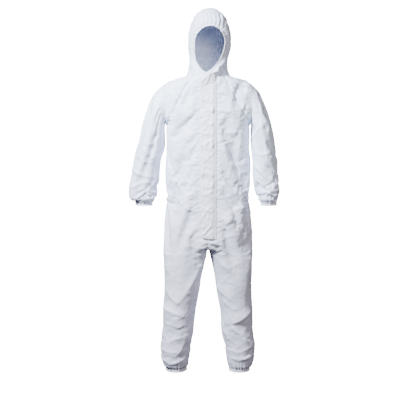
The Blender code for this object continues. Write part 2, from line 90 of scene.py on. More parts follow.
LEG = [
    # height, centre, half width, depth in front, depth behind
    (0.000, 0.142, 0.048, 0.058, 0.060),
    (0.014, 0.142, 0.048, 0.058, 0.060),
    (0.030, 0.144, 0.056, 0.065, 0.068),
    (0.055, 0.145, 0.063, 0.070, 0.075),
    (0.110, 0.144, 0.069, 0.075, 0.085),
    (0.190, 0.135, 0.069, 0.079, 0.086),
    (0.270, 0.131, 0.071, 0.086, 0.082),
    (0.360, 0.118, 0.076, 0.091, 0.093),
    (0.460, 0.111, 0.083, 0.099, 0.106),
    (0.520, 0.104, 0.090, 0.105, 0.117),
    (CROTCH_Z, 0.099, 0.097, 0.110, 0.126),
]
SLEEVE = [
    # inner x and z, outer x and z, half depth, forward; more inner and outer x on the right sleeve
    (0.1868, 1.098, 0.1868, 1.277, 0.067, 0.000, 0.000, 0.000),
    (0.1885, 1.090, 0.2210, 1.238, 0.074, 0.000, 0.000, 0.008),
    (0.1885, 1.075, 0.2530, 1.180, 0.079, 0.000, 0.000, 0.008),
    (0.1880, 1.050, 0.2765, 1.118, 0.080, 0.002, 0.000, 0.009),
    (0.1885, 1.010, 0.2950, 1.045, 0.078, 0.005, 0.002, 0.013),
    (0.2000, 0.950, 0.3080, 0.965, 0.074, 0.010, 0.014, 0.022),
    (0.2040, 0.895, 0.3130, 0.900, 0.069, 0.016, 0.018, 0.030),
    (0.2110, 0.840, 0.3170, 0.840, 0.064, 0.024, 0.013, 0.031),
    (0.2160, 0.795, 0.3130, 0.795, 0.057, 0.030, 0.006, 0.033),
    (0.2220, 0.772, 0.3060, 0.772, 0.047, 0.033, 0.011, 0.020),
    (0.2300, 0.758, 0.3020, 0.758, 0.038, 0.034, 0.013, 0.016),
    (0.2300, 0.746, 0.3020, 0.746, 0.038, 0.034, 0.013, 0.016),
]
HOOD = [
    # height, half width, depth in front, depth behind
    (NECK_Z, 0.096, 0.112, 0.079),
    (1.335, 0.087, 0.111, 0.081),
    (1.380, 0.083, 0.108, 0.096),
    (1.434, 0.092, 0.108, 0.122),
    (1.487, 0.093, 0.112, 0.131),
    (1.514, 0.088, 0.110, 0.127),
    (1.540, 0.079, 0.102, 0.115),
    (1.566, 0.066, 0.086, 0.096),
    (1.588, 0.046, 0.060, 0.066),
    (1.599, 0.024, 0.032, 0.035),
    (1.6035, 0.0008, 0.0008, 0.0008),
]
ARMHOLE_X = 0.1868
RAGLAN_NECK = (0.058, 1.330)
RAGLAN_UNDERARM = (0.192, 1.075)
CENTRE_STRIP = 0.045
CHIN_DIVIDE_Z = 1.410
FACE_CENTRE = (0.003, 1.450)
FACE_HALF_WIDTH, FACE_UP, FACE_DOWN, FACE_NARROWING = 0.067, 0.069, 0.126, 1.45
FACE_SHEAR = 0.10  # how far to the wearer's right the opening leans below its middle, for each metre down
ZIP_BOTTOM_Z = 0.616
ZIP_SLOT = 0.0052  # half the gap between the two fronts
ZIP_LENGTH = 0.684

WAIST_Z, ANKLE_Z, CUFF_Z = 0.766, 0.014, 0.754  # the elastics
ANKLE_X, CUFF_X, CUFF_Y = 0.142, 0.266, -0.034  # the middles of the hems
SEAM_PITCH = 0.012  # from one pucker of a seam to the next

# Fineness: the simulated surface has half as many rows and columns as the finished one
BODY_COLUMNS = 48  # on a quarter of the body
BODY_ROWS = (176, 20, 132)  # above the crotch seam, along it and below it
SLEEVE_ROWS, SLEEVE_COLUMNS = 128, 88
HOOD_ROWS, HOOD_COLUMNS = 96, 176
ARMHOLE_FADE_ROWS = 12
CROTCH_SHARPNESS = 3.2  # 2 makes the crotch seam a quarter of an ellipse; more turns it under later
HOOD_LEAN = 0.007  # the head leans this far to the wearer's left
FABRIC = 0.0005


# ------------------------------------------------------------------ surfaces


def smooth_table(table, at):
    """Every other column of the table where its first column has the values at, on a smooth curve."""
    rows = np.array(table, float)
    rows = rows[np.argsort(rows[:, 0])]
    knots, values = rows[:, 0], rows[:, 1:]
    step = np.diff(knots)
    rise = np.diff(values, axis=0) / step[:, None]
    slope = np.zeros_like(values)
    slope[0], slope[-1] = rise[0], rise[-1]
    before, after = (2 * step[1:] + step[:-1])[:, None], (step[1:] + 2 * step[:-1])[:, None]
    same = rise[:-1] * rise[1:] > 0
    safe_low, safe_high = np.where(same, rise[:-1], 1.0), np.where(same, rise[1:], 1.0)
    slope[1:-1] = np.where(same, (before + after) / (before / safe_low + after / safe_high), 0.0)
    at = np.asarray(at, float)
    i = np.clip(np.searchsorted(knots, at, side="right") - 1, 0, len(knots) - 2)
    h = step[i][:, None]
    t = np.clip((at - knots[i]) / step[i], 0, 1)[:, None]
    start, end = values[i], values[i + 1]
    bend = t * t * (3 - 2 * t)
    return start + (end - start) * bend + h * slope[i] * t * (1 - t) ** 2 - h * slope[i + 1] * t * t * (1 - t)


def power(value):
    return np.sign(value) * np.abs(value) ** (2 / SQUARENESS)


def body_levels():
    above, along, below = BODY_ROWS
    arc = np.arange(1, along + 1) / along * math.pi / 2
    top = np.linspace(NECK_Z, CROTCH_TOP_Z, above + 1)
    crotch = CROTCH_TOP_Z - (CROTCH_TOP_Z - CROTCH_Z) * np.sin(arc)
    return np.concatenate([top, crotch, np.linspace(CROTCH_Z, 0.0, below + 1)[1:]])


def body_quarter(z, face):
    """The left half's front (face -1) or back (1): rows by height, columns from the centre to the side."""
    share = np.linspace(0, 1, BODY_COLUMNS + 1)[None, :]
    half_width, back = smooth_table(TORSO, np.maximum(z, CROTCH_TOP_Z)).T[:, :, None]
    front = (FRONT_AT_ZIP_TOP + np.maximum(0, ZIP_TOP_Z - z) * FRONT_LEAN)[:, None]
    depth = back if face > 0 else front
    torso_x = half_width * power(np.sin(share * math.pi / 2))
    torso_y = face * depth * power(np.cos(share * math.pi / 2))
    centre, leg_half, leg_front, leg_back = smooth_table(LEG, np.minimum(z, CROTCH_Z)).T[:, :, None]
    leg_x = centre - leg_half * np.cos(share * math.pi)
    boxy = LEG_BOXINESS * np.clip((z - KNEE_Z) / (CROTCH_Z - KNEE_Z), 0, 1)[:, None]
    leg_y = face * (leg_back if face > 0 else leg_front) * np.abs(np.sin(share * math.pi)) ** (1 - boxy)
    fall = np.clip((CROTCH_TOP_Z - z) / (CROTCH_TOP_Z - CROTCH_Z), 0, 1)[:, None]
    at_seam = 1 - np.sqrt(np.maximum(0, 1 - fall**CROTCH_SHARPNESS))
    slow = np.clip((HIP_Z - z) / (HIP_Z - THIGH_Z), 0, 1)[:, None]
    at_side = slow * slow * (3 - 2 * slow)
    to_leg = at_seam + (at_side - at_seam) * np.minimum(share * 2, 1) ** 2
    x = torso_x + (leg_x - torso_x) * to_leg
    y = torso_y + (leg_y - torso_y) * to_leg
    return np.stack([x, y, np.broadcast_to(z[:, None], x.shape)], axis=-1)


def body_grids():
    """Right and left halves: rows down from the neck, columns from the front centre round to the back."""
    z = body_levels()
    front, back = body_quarter(z, -1), body_quarter(z, 1)
    left = np.concatenate([front, back[:, -2::-1]], axis=1)
    left[:, BODY_COLUMNS, 1] = 0.0
    left[: sum(BODY_ROWS[:2]) + 1, [0, -1], 0] = 0.0  # the two halves meet down to the inseam
    right = left * np.array([-1, 1, 1])
    return [right, left]


def sleeve_grid(side):
    rows = np.array(SLEEVE)
    more = rows[:, 6:8] if side < 0 else np.zeros((len(rows), 2))
    inner = np.stack([rows[:, 0] + more[:, 0], -rows[:, 5], rows[:, 1]], axis=1)
    outer = np.stack([rows[:, 2] + more[:, 1], -rows[:, 5], rows[:, 3]], axis=1)
    middle = (inner + outer) / 2
    run = np.concatenate([[0], np.cumsum(np.linalg.norm(np.diff(middle, axis=0), axis=1))])
    table = np.concatenate([run[:, None], inner, outer, rows[:, 4:5]], axis=1)
    found = smooth_table(table, np.linspace(0, run[-1], SLEEVE_ROWS + 1))
    inner, outer, depth = found[:, 0:3], found[:, 3:6], found[:, 6:7]
    middle, reach = (inner + outer) / 2, (outer - inner) / 2
    angle = 2 * math.pi * np.arange(SLEEVE_COLUMNS) / SLEEVE_COLUMNS
    grid = middle[:, None] + reach[:, None] * np.cos(angle)[None, :, None]
    grid[:, :, 1] -= depth * np.sin(angle)[None, :]
    grid = onto_armhole(grid, angle)
    return grid * np.array([side, 1, 1])


def armhole_depth(z, back):
    """How deep the body is at the armhole's plane, at each height."""
    half_width, depth = smooth_table(TORSO, z).T
    depth = np.where(back, depth, FRONT_AT_ZIP_TOP + np.maximum(0, ZIP_TOP_Z - z) * FRONT_LEAN)
    share = (ARMHOLE_X / np.maximum(half_width, ARMHOLE_X)) ** SQUARENESS
    return depth * np.maximum(0, 1 - share) ** (1 / SQUARENESS)


def onto_armhole(grid, angle):
    """The sleeve's top ring moved onto the body's section, and the rings after it by less and less."""
    back = np.sin(angle) < 0
    change = np.where(back, 1, -1) * armhole_depth(grid[0, :, 2], back) - grid[0, :, 1]
    fade = np.clip(1 - np.arange(len(grid)) / ARMHOLE_FADE_ROWS, 0, 1) ** 2
    grid[:, :, 1] += fade[:, None] * change[None, :]
    return grid


def hood_grid():
    rows = np.array(HOOD)
    profile = rows[:, [0, 1]]
    run = np.concatenate([[0], np.cumsum(np.linalg.norm(np.diff(profile, axis=0), axis=1))])
    found = smooth_table(np.concatenate([run[:, None], rows], axis=1), np.linspace(run[-1], 0, HOOD_ROWS + 1))
    z, half_width, front, back = found.T[:, :, None]
    angle = -2 * math.pi * np.arange(HOOD_COLUMNS)[None, :] / HOOD_COLUMNS - math.pi / 2
    x = half_width * power(np.cos(angle))
    y = power(np.sin(angle)) * np.where(np.sin(angle) > 0, back, front)
    return np.stack([x, y, np.broadcast_to(z, x.shape)], axis=-1)


# ------------------------------------------------------------------ meshes from grids


def grid_faces(rows, columns, closed, flip, first=0):
    """Quads on a grid of numbered points. flip is for a grid that runs anticlockwise seen from above."""
    spans = columns if closed else columns - 1
    i, j = np.meshgrid(np.arange(rows - 1), np.arange(spans), indexing="ij")
    k = (j + 1) % columns
    a, b = i * columns + j, i * columns + k
    c, d = (i + 1) * columns + k, (i + 1) * columns + j
    quads = np.stack([a, b, c, d], axis=-1).reshape(-1, 4) + first
    return quads[:, ::-1] if flip else quads


def joined(points, quads):
    """Points that coincide become one. Returns the points, the quads and where each old point went."""
    _, first, where = np.unique(np.round(points, 6), axis=0, return_index=True, return_inverse=True)
    where = where.reshape(-1)
    return points[first], where[quads], where


def normals(points, quads):
    """A unit normal at each point."""
    a, b, c, d = (points[quads[:, i]] for i in range(4))
    faces = np.cross(c - a, d - b)
    total = np.zeros_like(points)
    for i in range(4):
        np.add.at(total, quads[:, i], faces)
    return total / np.maximum(np.linalg.norm(total, axis=1, keepdims=True), 1e-12)


def mesh_of(name, points, faces):
    mesh = bpy.data.meshes.new(name)
    mesh.from_pydata([tuple(p) for p in points], [], [list(dict.fromkeys(f)) for f in faces])
    mesh.update()
    return mesh


def object_of(name, mesh):
    obj = bpy.data.objects.new(name, mesh)
    bpy.context.scene.collection.objects.link(obj)
    return obj


def doubled(grid, wrap):
    """A displacement on every second row and column, brought to all of them on smooth curves."""
    for axis in (0, 1):
        moved = np.moveaxis(grid, axis, 0)
        if axis == 1 and wrap:
            around = np.concatenate([moved[-1:], moved, moved[:2]])
        else:
            around = np.concatenate([2 * moved[:1] - moved[1:2], moved, 2 * moved[-1:] - moved[-2:-1]])
        middle = (-around[:-3] + 9 * around[1:-2] + 9 * around[2:-1] - around[3:]) / 16
        count = len(moved) + len(middle)
        out = np.empty((count, *moved.shape[1:]))
        out[0::2] = moved
        out[1::2] = middle
        grid = np.moveaxis(out, 0, axis)
    return grid


# ------------------------------------------------------------------ cloth


def simulate(name, points, quads, pins, gap, slack, frames):
    """Where the cloth lies after it has slackened over a form, its own surface moved inwards by gap."""
    cloth = object_of(f"{name}_cloth", mesh_of(f"{name}_cloth", points, quads))
    inner = points - normals(points, quads) * gap[:, None]
    form = object_of(f"{name}_form", mesh_of(f"{name}_form", inner, quads))
    form.modifiers.new("collision", "COLLISION")
    form.collision.thickness_outer = 0.003
    form.collision.cloth_friction = 8
    group = cloth.vertex_groups.new(name="pin")
    for index, weight in enumerate(pins):
        if weight > 0:
            group.add([index], float(weight), "REPLACE")
    step = cloth.modifiers.new("cloth", "CLOTH")
    settings = step.settings
    settings.quality = 6
    settings.mass = 0.08
    settings.tension_stiffness = 40
    settings.compression_stiffness = 40
    settings.shear_stiffness = 12
    settings.bending_stiffness = 0.6
    settings.tension_damping = settings.compression_damping = settings.shear_damping = 12
    settings.air_damping = 4
    settings.shrink_min = -slack
    settings.vertex_group_mass = "pin"
    settings.pin_stiffness = 8
    step.collision_settings.distance_min = 0.003
    step.collision_settings.collision_quality = 2
    step.point_cache.frame_end = frames
    scene = bpy.context.scene
    scene.frame_start, scene.frame_end = 1, frames
    for number in range(1, frames + 1):
        scene.frame_set(number)
    shown = cloth.evaluated_get(bpy.context.evaluated_depsgraph_get())
    result = np.empty(len(points) * 3)
    shown.data.vertices.foreach_get("co", result)
    scene.frame_set(1)
    for obj in (cloth, form):
        mesh = obj.data
        bpy.data.objects.remove(obj)
        bpy.data.meshes.remove(mesh)
    return result.reshape(-1, 3)


def kept(points):
    """How much of the simulated movement is kept: less on the legs, where the sheet hangs nearly straight."""
    z = points[:, 2]
    fall = np.clip((0.62 - z) / 0.20, 0, 1)
    return 1 - 0.72 * fall * np.where(np.abs(points[:, 0]) < 0.23, 1, 0)


def slackened(name, grids, quads_of, closed, pins_of, gap_of, slack, frames):
    """The grids moved as the simulation of every second point moves them."""
    coarse = [grid[::2, ::2] for grid in grids]
    points = np.concatenate([grid.reshape(-1, 3) for grid in coarse])
    quads = quads_of(coarse)
    merged, faces, where = joined(points, quads)
    wrinkled = merged + normals(merged, faces) * crumple(merged, 0.05, 0.0016)[:, None]
    after = simulate(name, wrinkled, faces, pins_of(merged), gap_of(merged), slack, frames)
    moved = ((after - merged) * kept(merged)[:, None])[where]
    out, first = [], 0
    for grid, small in zip(grids, coarse):
        count = small.shape[0] * small.shape[1]
        change = moved[first : first + count].reshape(small.shape)
        out.append(grid + doubled(change, closed)[: grid.shape[0], : grid.shape[1]])
        first += count
    return out


# ------------------------------------------------------------------ folds and creases


def crumple(points, size, height):
    """The flat facets and sharp edges of a sheet that has been packed and shaken out."""
    out = np.empty(len(points))
    for i, (x, y, z) in enumerate(points):
        near, second = noise.voronoi(Vector((x, y, z * 0.7)) / size)[0][:2]
        out[i] = min(second - near, 0.6)
    return (out - 0.25) * height


def fold_heights(points, facing, folds):
    """How far the folds lift each point. facing says how much each point is turned towards them."""
    total = np.zeros(len(points))
    flat = points[:, [0, 2]]
    for line, height, left, right in folds:
        line = np.array(line)
        lengths = np.linalg.norm(np.diff(line, axis=0), axis=1)
        before = np.concatenate([[0], np.cumsum(lengths)])
        best = np.full(len(points), 1e9)
        side = np.zeros(len(points))
        along = np.zeros(len(points))
        for i, (start, end) in enumerate(zip(line, line[1:])):
            run = end - start
            away = flat - start
            t = np.clip(away @ run / (run @ run), 0, 1)
            off = away - t[:, None] * run
            distance = np.hypot(off[:, 0], off[:, 1])
            closer = distance < best
            best = np.where(closer, distance, best)
            cross = run[0] * away[:, 1] - run[1] * away[:, 0]
            side = np.where(closer, np.sign(cross), side)
            along = np.where(closer, (before[i] + t * lengths[i]) / before[-1], along)
        width = np.where(side > 0, left, right)
        fade = np.minimum(1, along / 0.12 + 0.25) * np.minimum(1, (1 - along) / 0.35)
        total += height * np.exp(-(np.sqrt(best**2 + 0.0015**2)) / width) * fade
    return total * np.clip(facing * 2.5, 0, 1)


def gathers(angle, distance, count, height, reach, seed):
    """Pleats that run away from an elastic: angle goes round it, distance leads away from it."""
    wander = 0.6 * np.sin(angle * 3 + seed) + 0.4 * np.sin(angle * 7 + 2 * seed)
    wave = np.cos(count * angle + wander) + 0.5 * np.cos((count * 0.62) * angle + 1.7 * seed)
    return height * wave * np.exp(-np.abs(distance) / reach)


def folds(text):
    """A fold on each row, in millimetres: the points of its line in front view, x and z, then its height and
    the widths of its slopes, left and right of the line's direction. A row with # is a heading."""
    out = []
    for row in text.strip().splitlines():
        if not row.strip().startswith("#"):
            line, sizes = row.split(":")
            points = [tuple(float(part) / 1000 for part in point.split()) for point in line.split(",")]
            out.append((points, *(float(part) / 1000 for part in sizes.split())))
    return out


FRONT_FOLDS = folds("""
    # Waist, from the knots of the side elastic
    -141 770, -105 792, -70 805, -22 805: 5.1 7 21
    -123 761, -80 738, -26 722: 4.8 16 6
    -150 783, -130 812, -95 835: 3 5 12
    163 766, 120 735, 88 700, 62 669: 5.4 14 6
    128 691, 85 700, 44 686: 3.6 11 5
    160 783, 128 806, 75 812: 3.3 5 14
    150 756, 135 720, 140 680: 3 7 6
    -168 755, -150 700, -152 640: 3 8 7
    # Crotch whiskers
    -5 566, -50 570, -110 584: 3.2 6 13
    12 583, 60 606, 100 625, 154 629: 3.6 13 6
    4 560, 50 545, 110 548: 2.5 6 10
    -6 556, -50 538, -100 512: 2.3 7 6
    -20 612, -60 630, -120 640: 2.3 8 6
    30 640, 70 655, 120 662: 2.7 10 6
    147 766, 97 728, 28 671: 3.6 8 5
    106 709, 70 660, 47 616: 3.2 7 6
    122 700, 66 678, 22 662: 3 7 5
    -10 590, -41 599, -66 615: 3 6 8
    -24 610, 6 622, 20 644: 3.6 5 5
    -16 596, 10 606, 28 628: 3.2 5 5
    -120 786, -80 770, -40 768: 2.6 5 8
    -118 742, -90 700, -76 650: 2.8 8 10
    100 800, 60 786, 34 790: 2.6 8 5
    # Chest
    -150 981, -114 937, -154 902: 3.9 7 5
    -114 937, -48 928: 3 8 5
    136 1034, 132 959, 145 920, 171 959: 4.2 7 5
    60 1000, 100 930, 150 880: 2 18 7
    -60 1190, -100 1120, -150 1060: 2 9 19
    110 1280, 160 1210, 200 1122: 3.5 10 7
    70 1235, 90 1160, 140 1080: 2.2 18 9
    -170 870, -120 850, -60 862: 2.2 9 8
    170 858, 120 840, 70 856: 2.4 9 8
    -120 1240, -150 1180, -160 1110: 2.2 7 13
    -170 925, -145 880, -150 830: 2.4 7 6
    -78 985, -30 990: 1 5 3
    40 990, 108 984: 1 5 3
    # Wearer's right leg: a long plane faces inwards below the line from the crotch to the knee
    -10 556, -70 430, -129 321: 13.8 40 12
    -129 318, -165 350, -192 392: 9.2 9 22
    -202 304, -150 282, -88 258: 11 9 26
    -150 262, -128 200, -112 150: 7.4 26 9
    -172 150, -130 166, -97 180: 6.4 7 16
    -136 84, -110 130, -97 176, -75 88: 6.4 14 9
    -216 70, -163 44, -88 70: 7.8 7 10
    -210 110, -160 98, -120 106: 5.5 7 12
    -190 500, -160 440, -165 380: 3.7 10 18
    -194 230, -140 218, -90 226: 4.6 12 7
    # Wearer's left leg
    26 546, 70 500, 119 453: 7.4 9 22
    40 396, 80 355, 123 321: 6.4 22 7
    106 229, 150 252, 200 290: 11 26 9
    106 226, 150 175, 200 117: 9.2 8 26
    62 233, 85 180, 114 123: 7.4 9 20
    185 540, 172 430, 160 300: 8.3 9 34
    99 70, 150 66, 211 84: 7.4 7 10
    90 110, 140 100, 205 128: 5.1 7 10
    70 330, 110 300, 150 292: 5.1 12 7
""")
SLEEVE_FOLDS = folds("""
    # Wearer's left sleeve
    185 1034, 220 1085, 255 1122: 6.2 6 9
    261 1122, 265 1090, 261 1056: 5.4 5 6
    198 1245, 235 1190, 260 1126: 4.6 7 7
    211 933, 250 890, 312 849: 6.2 6 9
    264 986, 285 965, 308 946: 5.4 5 6
    200 985, 240 975, 290 1000: 4.6 6 6
    215 865, 250 840, 300 830: 4.1 6 6
    # Wearer's right sleeve
    -233 1091, -232 1052: 5.1 6 6
    -339 911, -280 890, -224 878: 6.2 7 6
    -339 836, -286 862, -224 862: 5.7 6 6
    -286 1008, -250 970, -224 937: 5.9 7 7
    -205 1200, -240 1130, -290 1080: 4.6 7 9
    -320 985, -280 950, -230 945: 4.6 6 7
    -200 1060, -240 1020, -300 1030: 4.6 6 6
""")
BACK_FOLDS = folds("""
    -150 772, -90 800, -30 840: 4 12 18
    150 772, 95 806, 25 850: 4 18 12
    -130 752, -80 700, -20 640: 4.2 16 12
    130 752, 90 690, 20 620: 4.2 12 16
    -100 1220, -70 1080, -90 930: 3.4 18 14
    90 1230, 60 1100, 85 950: 3.6 14 20
    10 1180, -10 1050, 15 900: 2.6 20 14
    -170 1060, -100 1020, -20 1010: 3 12 16
    170 1050, 110 990, 50 970: 3 16 12
    -10 600, -70 570, -150 590: 4.4 12 12
    10 600, 75 560, 160 570: 4.4 12 12
    -180 350, -130 325, -60 340: 4.6 12 10
    -190 300, -130 290, -70 300: 4 10 12
    60 345, 120 320, 190 350: 4.6 12 10
    70 290, 130 300, 200 285: 3.8 10 12
    -200 130, -150 100, -80 120: 4.4 12 10
    80 115, 140 95, 205 125: 4.4 12 10
    -205 70, -150 55, -90 70: 4 9 9
    90 65, 150 55, 205 72: 4 9 9
    -330 900, -280 870, -230 880: 4.2 12 12
    215 890, 260 870, 310 890: 4.2 12 12
    -300 1050, -250 1020, -200 1040: 3.6 12 12
    200 1030, 245 1010, 290 1050: 3.6 12 12
""")


SMALL_CREASES = 150
CREASED_AREA = ((-0.34, 0.02), (0.34, 1.30))
CREASE_SEEDS = (11, 23)  # front and back


def random_creases(seed, count, low, high):
    """Small sharp creases at random over a rectangle in front view, most of them slanting."""
    chance = random.Random(seed)
    out = []
    for _ in range(count):
        x, z = chance.uniform(low[0], high[0]), chance.uniform(low[1], high[1])
        length = chance.uniform(0.025, 0.085)
        angle = chance.choice((0.6, -0.6, 1.1, -1.1, 0.1)) + chance.uniform(-0.35, 0.35)
        bend = chance.uniform(-0.4, 0.4)
        half = length / 2
        middle = (x + half * math.cos(angle), z + half * math.sin(angle))
        end = (middle[0] + half * math.cos(angle + bend), middle[1] + half * math.sin(angle + bend))
        height = chance.uniform(0.0010, 0.0034)
        widths = [chance.uniform(0.0025, 0.008) for _ in range(2)]
        out.append(([(x, z), middle, end], height, *widths))
    return out


def creased(base, points, quads, folds_front, folds_back, more, meeting):
    """The points with their folds and the small facets of the sheet. Near a meeting line with another piece
    both are moved in the same direction, away from the middle of that line."""
    normal = normals(points, quads)
    fill = np.zeros(len(base))
    for line, middle, height in meeting:
        distance = distance_to(base, line)
        near = np.clip(1 - distance / MEETING_REACH, 0, 1)[:, None]
        shared = base - middle
        shared /= np.linalg.norm(shared, axis=1, keepdims=True)
        fill += height * shared[:, 1] ** 2 * np.exp(-distance / FILL_REACH)
        normal = normal + (shared - normal) * near * near * (3 - 2 * near)
        normal /= np.linalg.norm(normal, axis=1, keepdims=True)
    small = [random_creases(seed, SMALL_CREASES, *CREASED_AREA) for seed in CREASE_SEEDS]
    lift = fold_heights(base, -normal[:, 1], folds_front + small[0])
    lift += fold_heights(base, normal[:, 1], folds_back + small[1])
    lift += crumple(base, 0.085, 0.0030)
    lift -= crumple(base + 5.0, 0.038, 0.0013)
    lift += more + fill
    calm = zip_calm(base)
    return points + normal * (lift * calm)[:, None]


def distance_to(points, line):
    """The distance from each point to the nearest of a line's points."""
    best = np.full(len(points), 1e9)
    for spot in line:
        best = np.minimum(best, ((points - spot) ** 2).sum(axis=1))
    return np.sqrt(best)


def zip_calm(base):
    """0 over the zip, where the sheet lies flat under the flap, and 1 away from it."""
    x, y, z = base.T
    beside = np.clip((np.abs(x) - 0.030) / 0.024, 0, 1)
    below = np.clip((ZIP_BOTTOM_Z - 0.006 - z) / 0.020, 0, 1)
    above = np.clip((z - 1.33) / 0.02, 0, 1)
    behind = np.where(y > 0, 1.0, 0.0)
    return np.maximum.reduce([beside, below, above, behind])


# ------------------------------------------------------------------ seams


def valley(distance, depth, width):
    return -depth * np.exp(-((distance / width) ** 2))


def raglan_distance(base):
    """How far each point is from the raglan seam's line, above 0 on the yoke's side."""
    (neck_x, neck_z), (arm_x, arm_z) = RAGLAN_NECK, RAGLAN_UNDERARM
    along = np.array([neck_x - arm_x, neck_z - arm_z])
    along /= np.linalg.norm(along)
    return (np.abs(base[:, 0]) - arm_x) * along[1] - (base[:, 2] - arm_z) * along[0]


def body_seams(base):
    """Valleys and puckers along the seams of the body."""
    x, y, z = base.T
    raglan = np.where((z > 1.075) & (np.abs(x) < ARMHOLE_X + 0.002), raglan_distance(base), 1.0)
    side = np.where(np.abs(x) > 0.02, y, 1.0)
    centre = np.where((y > 0) | (z < ZIP_BOTTOM_Z), x, 1.0)
    centre = np.where(z < CROTCH_Z, 1.0, centre)
    neck = z - NECK_Z
    total = valley(raglan, 0.0050, 0.0034) + valley(side, 0.0030, 0.004) + valley(centre, 0.0030, 0.004)
    total += valley(neck, 0.0005, 0.004)
    uneven = z * 2 * math.pi / 0.013 + 3 * np.sin(z * 31)
    pucker = 0.0009 * np.exp(-((raglan / 0.012) ** 2)) * np.sin(uneven)
    pucker += 0.0006 * np.exp(-((centre / 0.010) ** 2)) * np.sin(z * 2 * math.pi / SEAM_PITCH)
    return total + pucker


def body_gathers(base):
    """The pleats at the waist, from one side round the back to the other, and at the ankles."""
    x, y, z = base.T
    angle = np.arctan2(y, x)
    at_back = np.clip((y + 0.030) / 0.030, 0, 1)
    waist = gathers(angle, z - WAIST_Z, 58, 0.0026, 0.034, 1.0) * at_back
    waist += valley(z - WAIST_Z, 0.0030, 0.010) * at_back
    leg = np.arctan2(y, np.abs(x) - ANKLE_X) + np.sign(x)
    ankle = gathers(leg, z - 0.012, 27, 0.0022, 0.030, 2.0)
    ankle += valley(z - ANKLE_Z, 0.0016, 0.005)
    return waist + np.where(z < 0.2, ankle, 0)


def sleeve_gathers(base, side):
    x, y, z = base.T
    angle = np.arctan2(y - CUFF_Y, np.abs(x) - CUFF_X)
    cuff = gathers(angle, z - 0.752, 21, 0.0022, 0.028, 3.0 + side)
    cuff += valley(z - CUFF_Z, 0.0016, 0.005)
    return np.where(z < 0.87, cuff, 0)


def face_distance(base):
    """Roughly how far outside the face opening's edge each point is in front view; and its angle round it."""
    up = base[:, 2] - FACE_CENTRE[1]
    across = (base[:, 0] - FACE_CENTRE[0] + FACE_SHEAR * np.maximum(-up, 0)) / FACE_HALF_WIDTH
    rise = np.where(up > 0, up / FACE_UP, up / FACE_DOWN)
    narrow = np.where(up > 0, 2.0, 2.0 / FACE_NARROWING)
    reach = (np.abs(across) ** narrow + np.abs(rise) ** 2) ** 0.5
    away = (reach - 1) * FACE_HALF_WIDTH
    return np.where(base[:, 1] < 0, away, 1.0), np.arctan2(up, base[:, 0] - FACE_CENTRE[0])


def hood_shape(base):
    """The hood's gathers round the face, its seams, and the dent of its crown."""
    x, y, z = base.T
    away, angle = face_distance(base)
    total = gathers(angle, away, 42, 0.0016, 0.016, 4.0) * np.clip((z - 1.36) / 0.05, 0.2, 1)
    total += valley(away - 0.006, 0.0022, 0.004) - valley(away - 0.014, 0.0020, 0.006)
    forehead = np.cos(x * 2 * math.pi / 0.017 + 2 * np.sin(z * 60)) * np.clip((1.585 - z) / 0.03, 0, 1)
    total += 0.0018 * forehead * np.clip((z - 1.520) / 0.01, 0, 1) * (y < 0)
    total += valley(z - 1.582 + 0.002 * np.cos(x * 90), 0.0028, 0.004) * (y < 0) * (np.abs(x) < 0.04)
    strip = np.where((z > CHIN_DIVIDE_Z) | (y > 0), np.abs(x) - CENTRE_STRIP, 1.0)
    total += valley(strip, 0.0034, 0.0034)
    total += 0.0007 * np.exp(-((strip / 0.010) ** 2)) * np.sin((z + np.abs(y)) * 2 * math.pi / SEAM_PITCH)
    total += valley(z - NECK_Z, 0.0005, 0.004)
    return total


HOOD_FOLDS = folds("""
    -76 1500, -84 1440, -80 1390: 2.8 8 10
    74 1510, 88 1450, 83 1400: 2.8 10 8
    30 1335, 60 1360, 88 1372: 3.6 9 9
    -30 1330, -60 1352, -84 1362: 3.6 9 9
    -50 1380, -70 1360, -75 1335: 2.8 8 8
    52 1390, 70 1372, 78 1345: 2.8 8 8
    -60 1545, -30 1572, 10 1590: 2.2 10 10
""")
HOOD_BACK_FOLDS = folds("""
    -80 1345, -30 1362, 40 1350: 3.6 10 12
    82 1360, 40 1378, -30 1392: 3.4 12 10
    -85 1400, -50 1412, 10 1405: 2.8 12 10
    20 1560, 30 1480, 24 1420: 2 16 12
""")
MEETING_REACH = 0.030
NECK_DROP = (0, 0, 0.06)  # near the neck the cloth moves away from a point this far below it
ARMHOLE_FILL, FILL_REACH = 0.012, 0.020  # takes out the hollow between body and sleeve


# ------------------------------------------------------------------ cutting


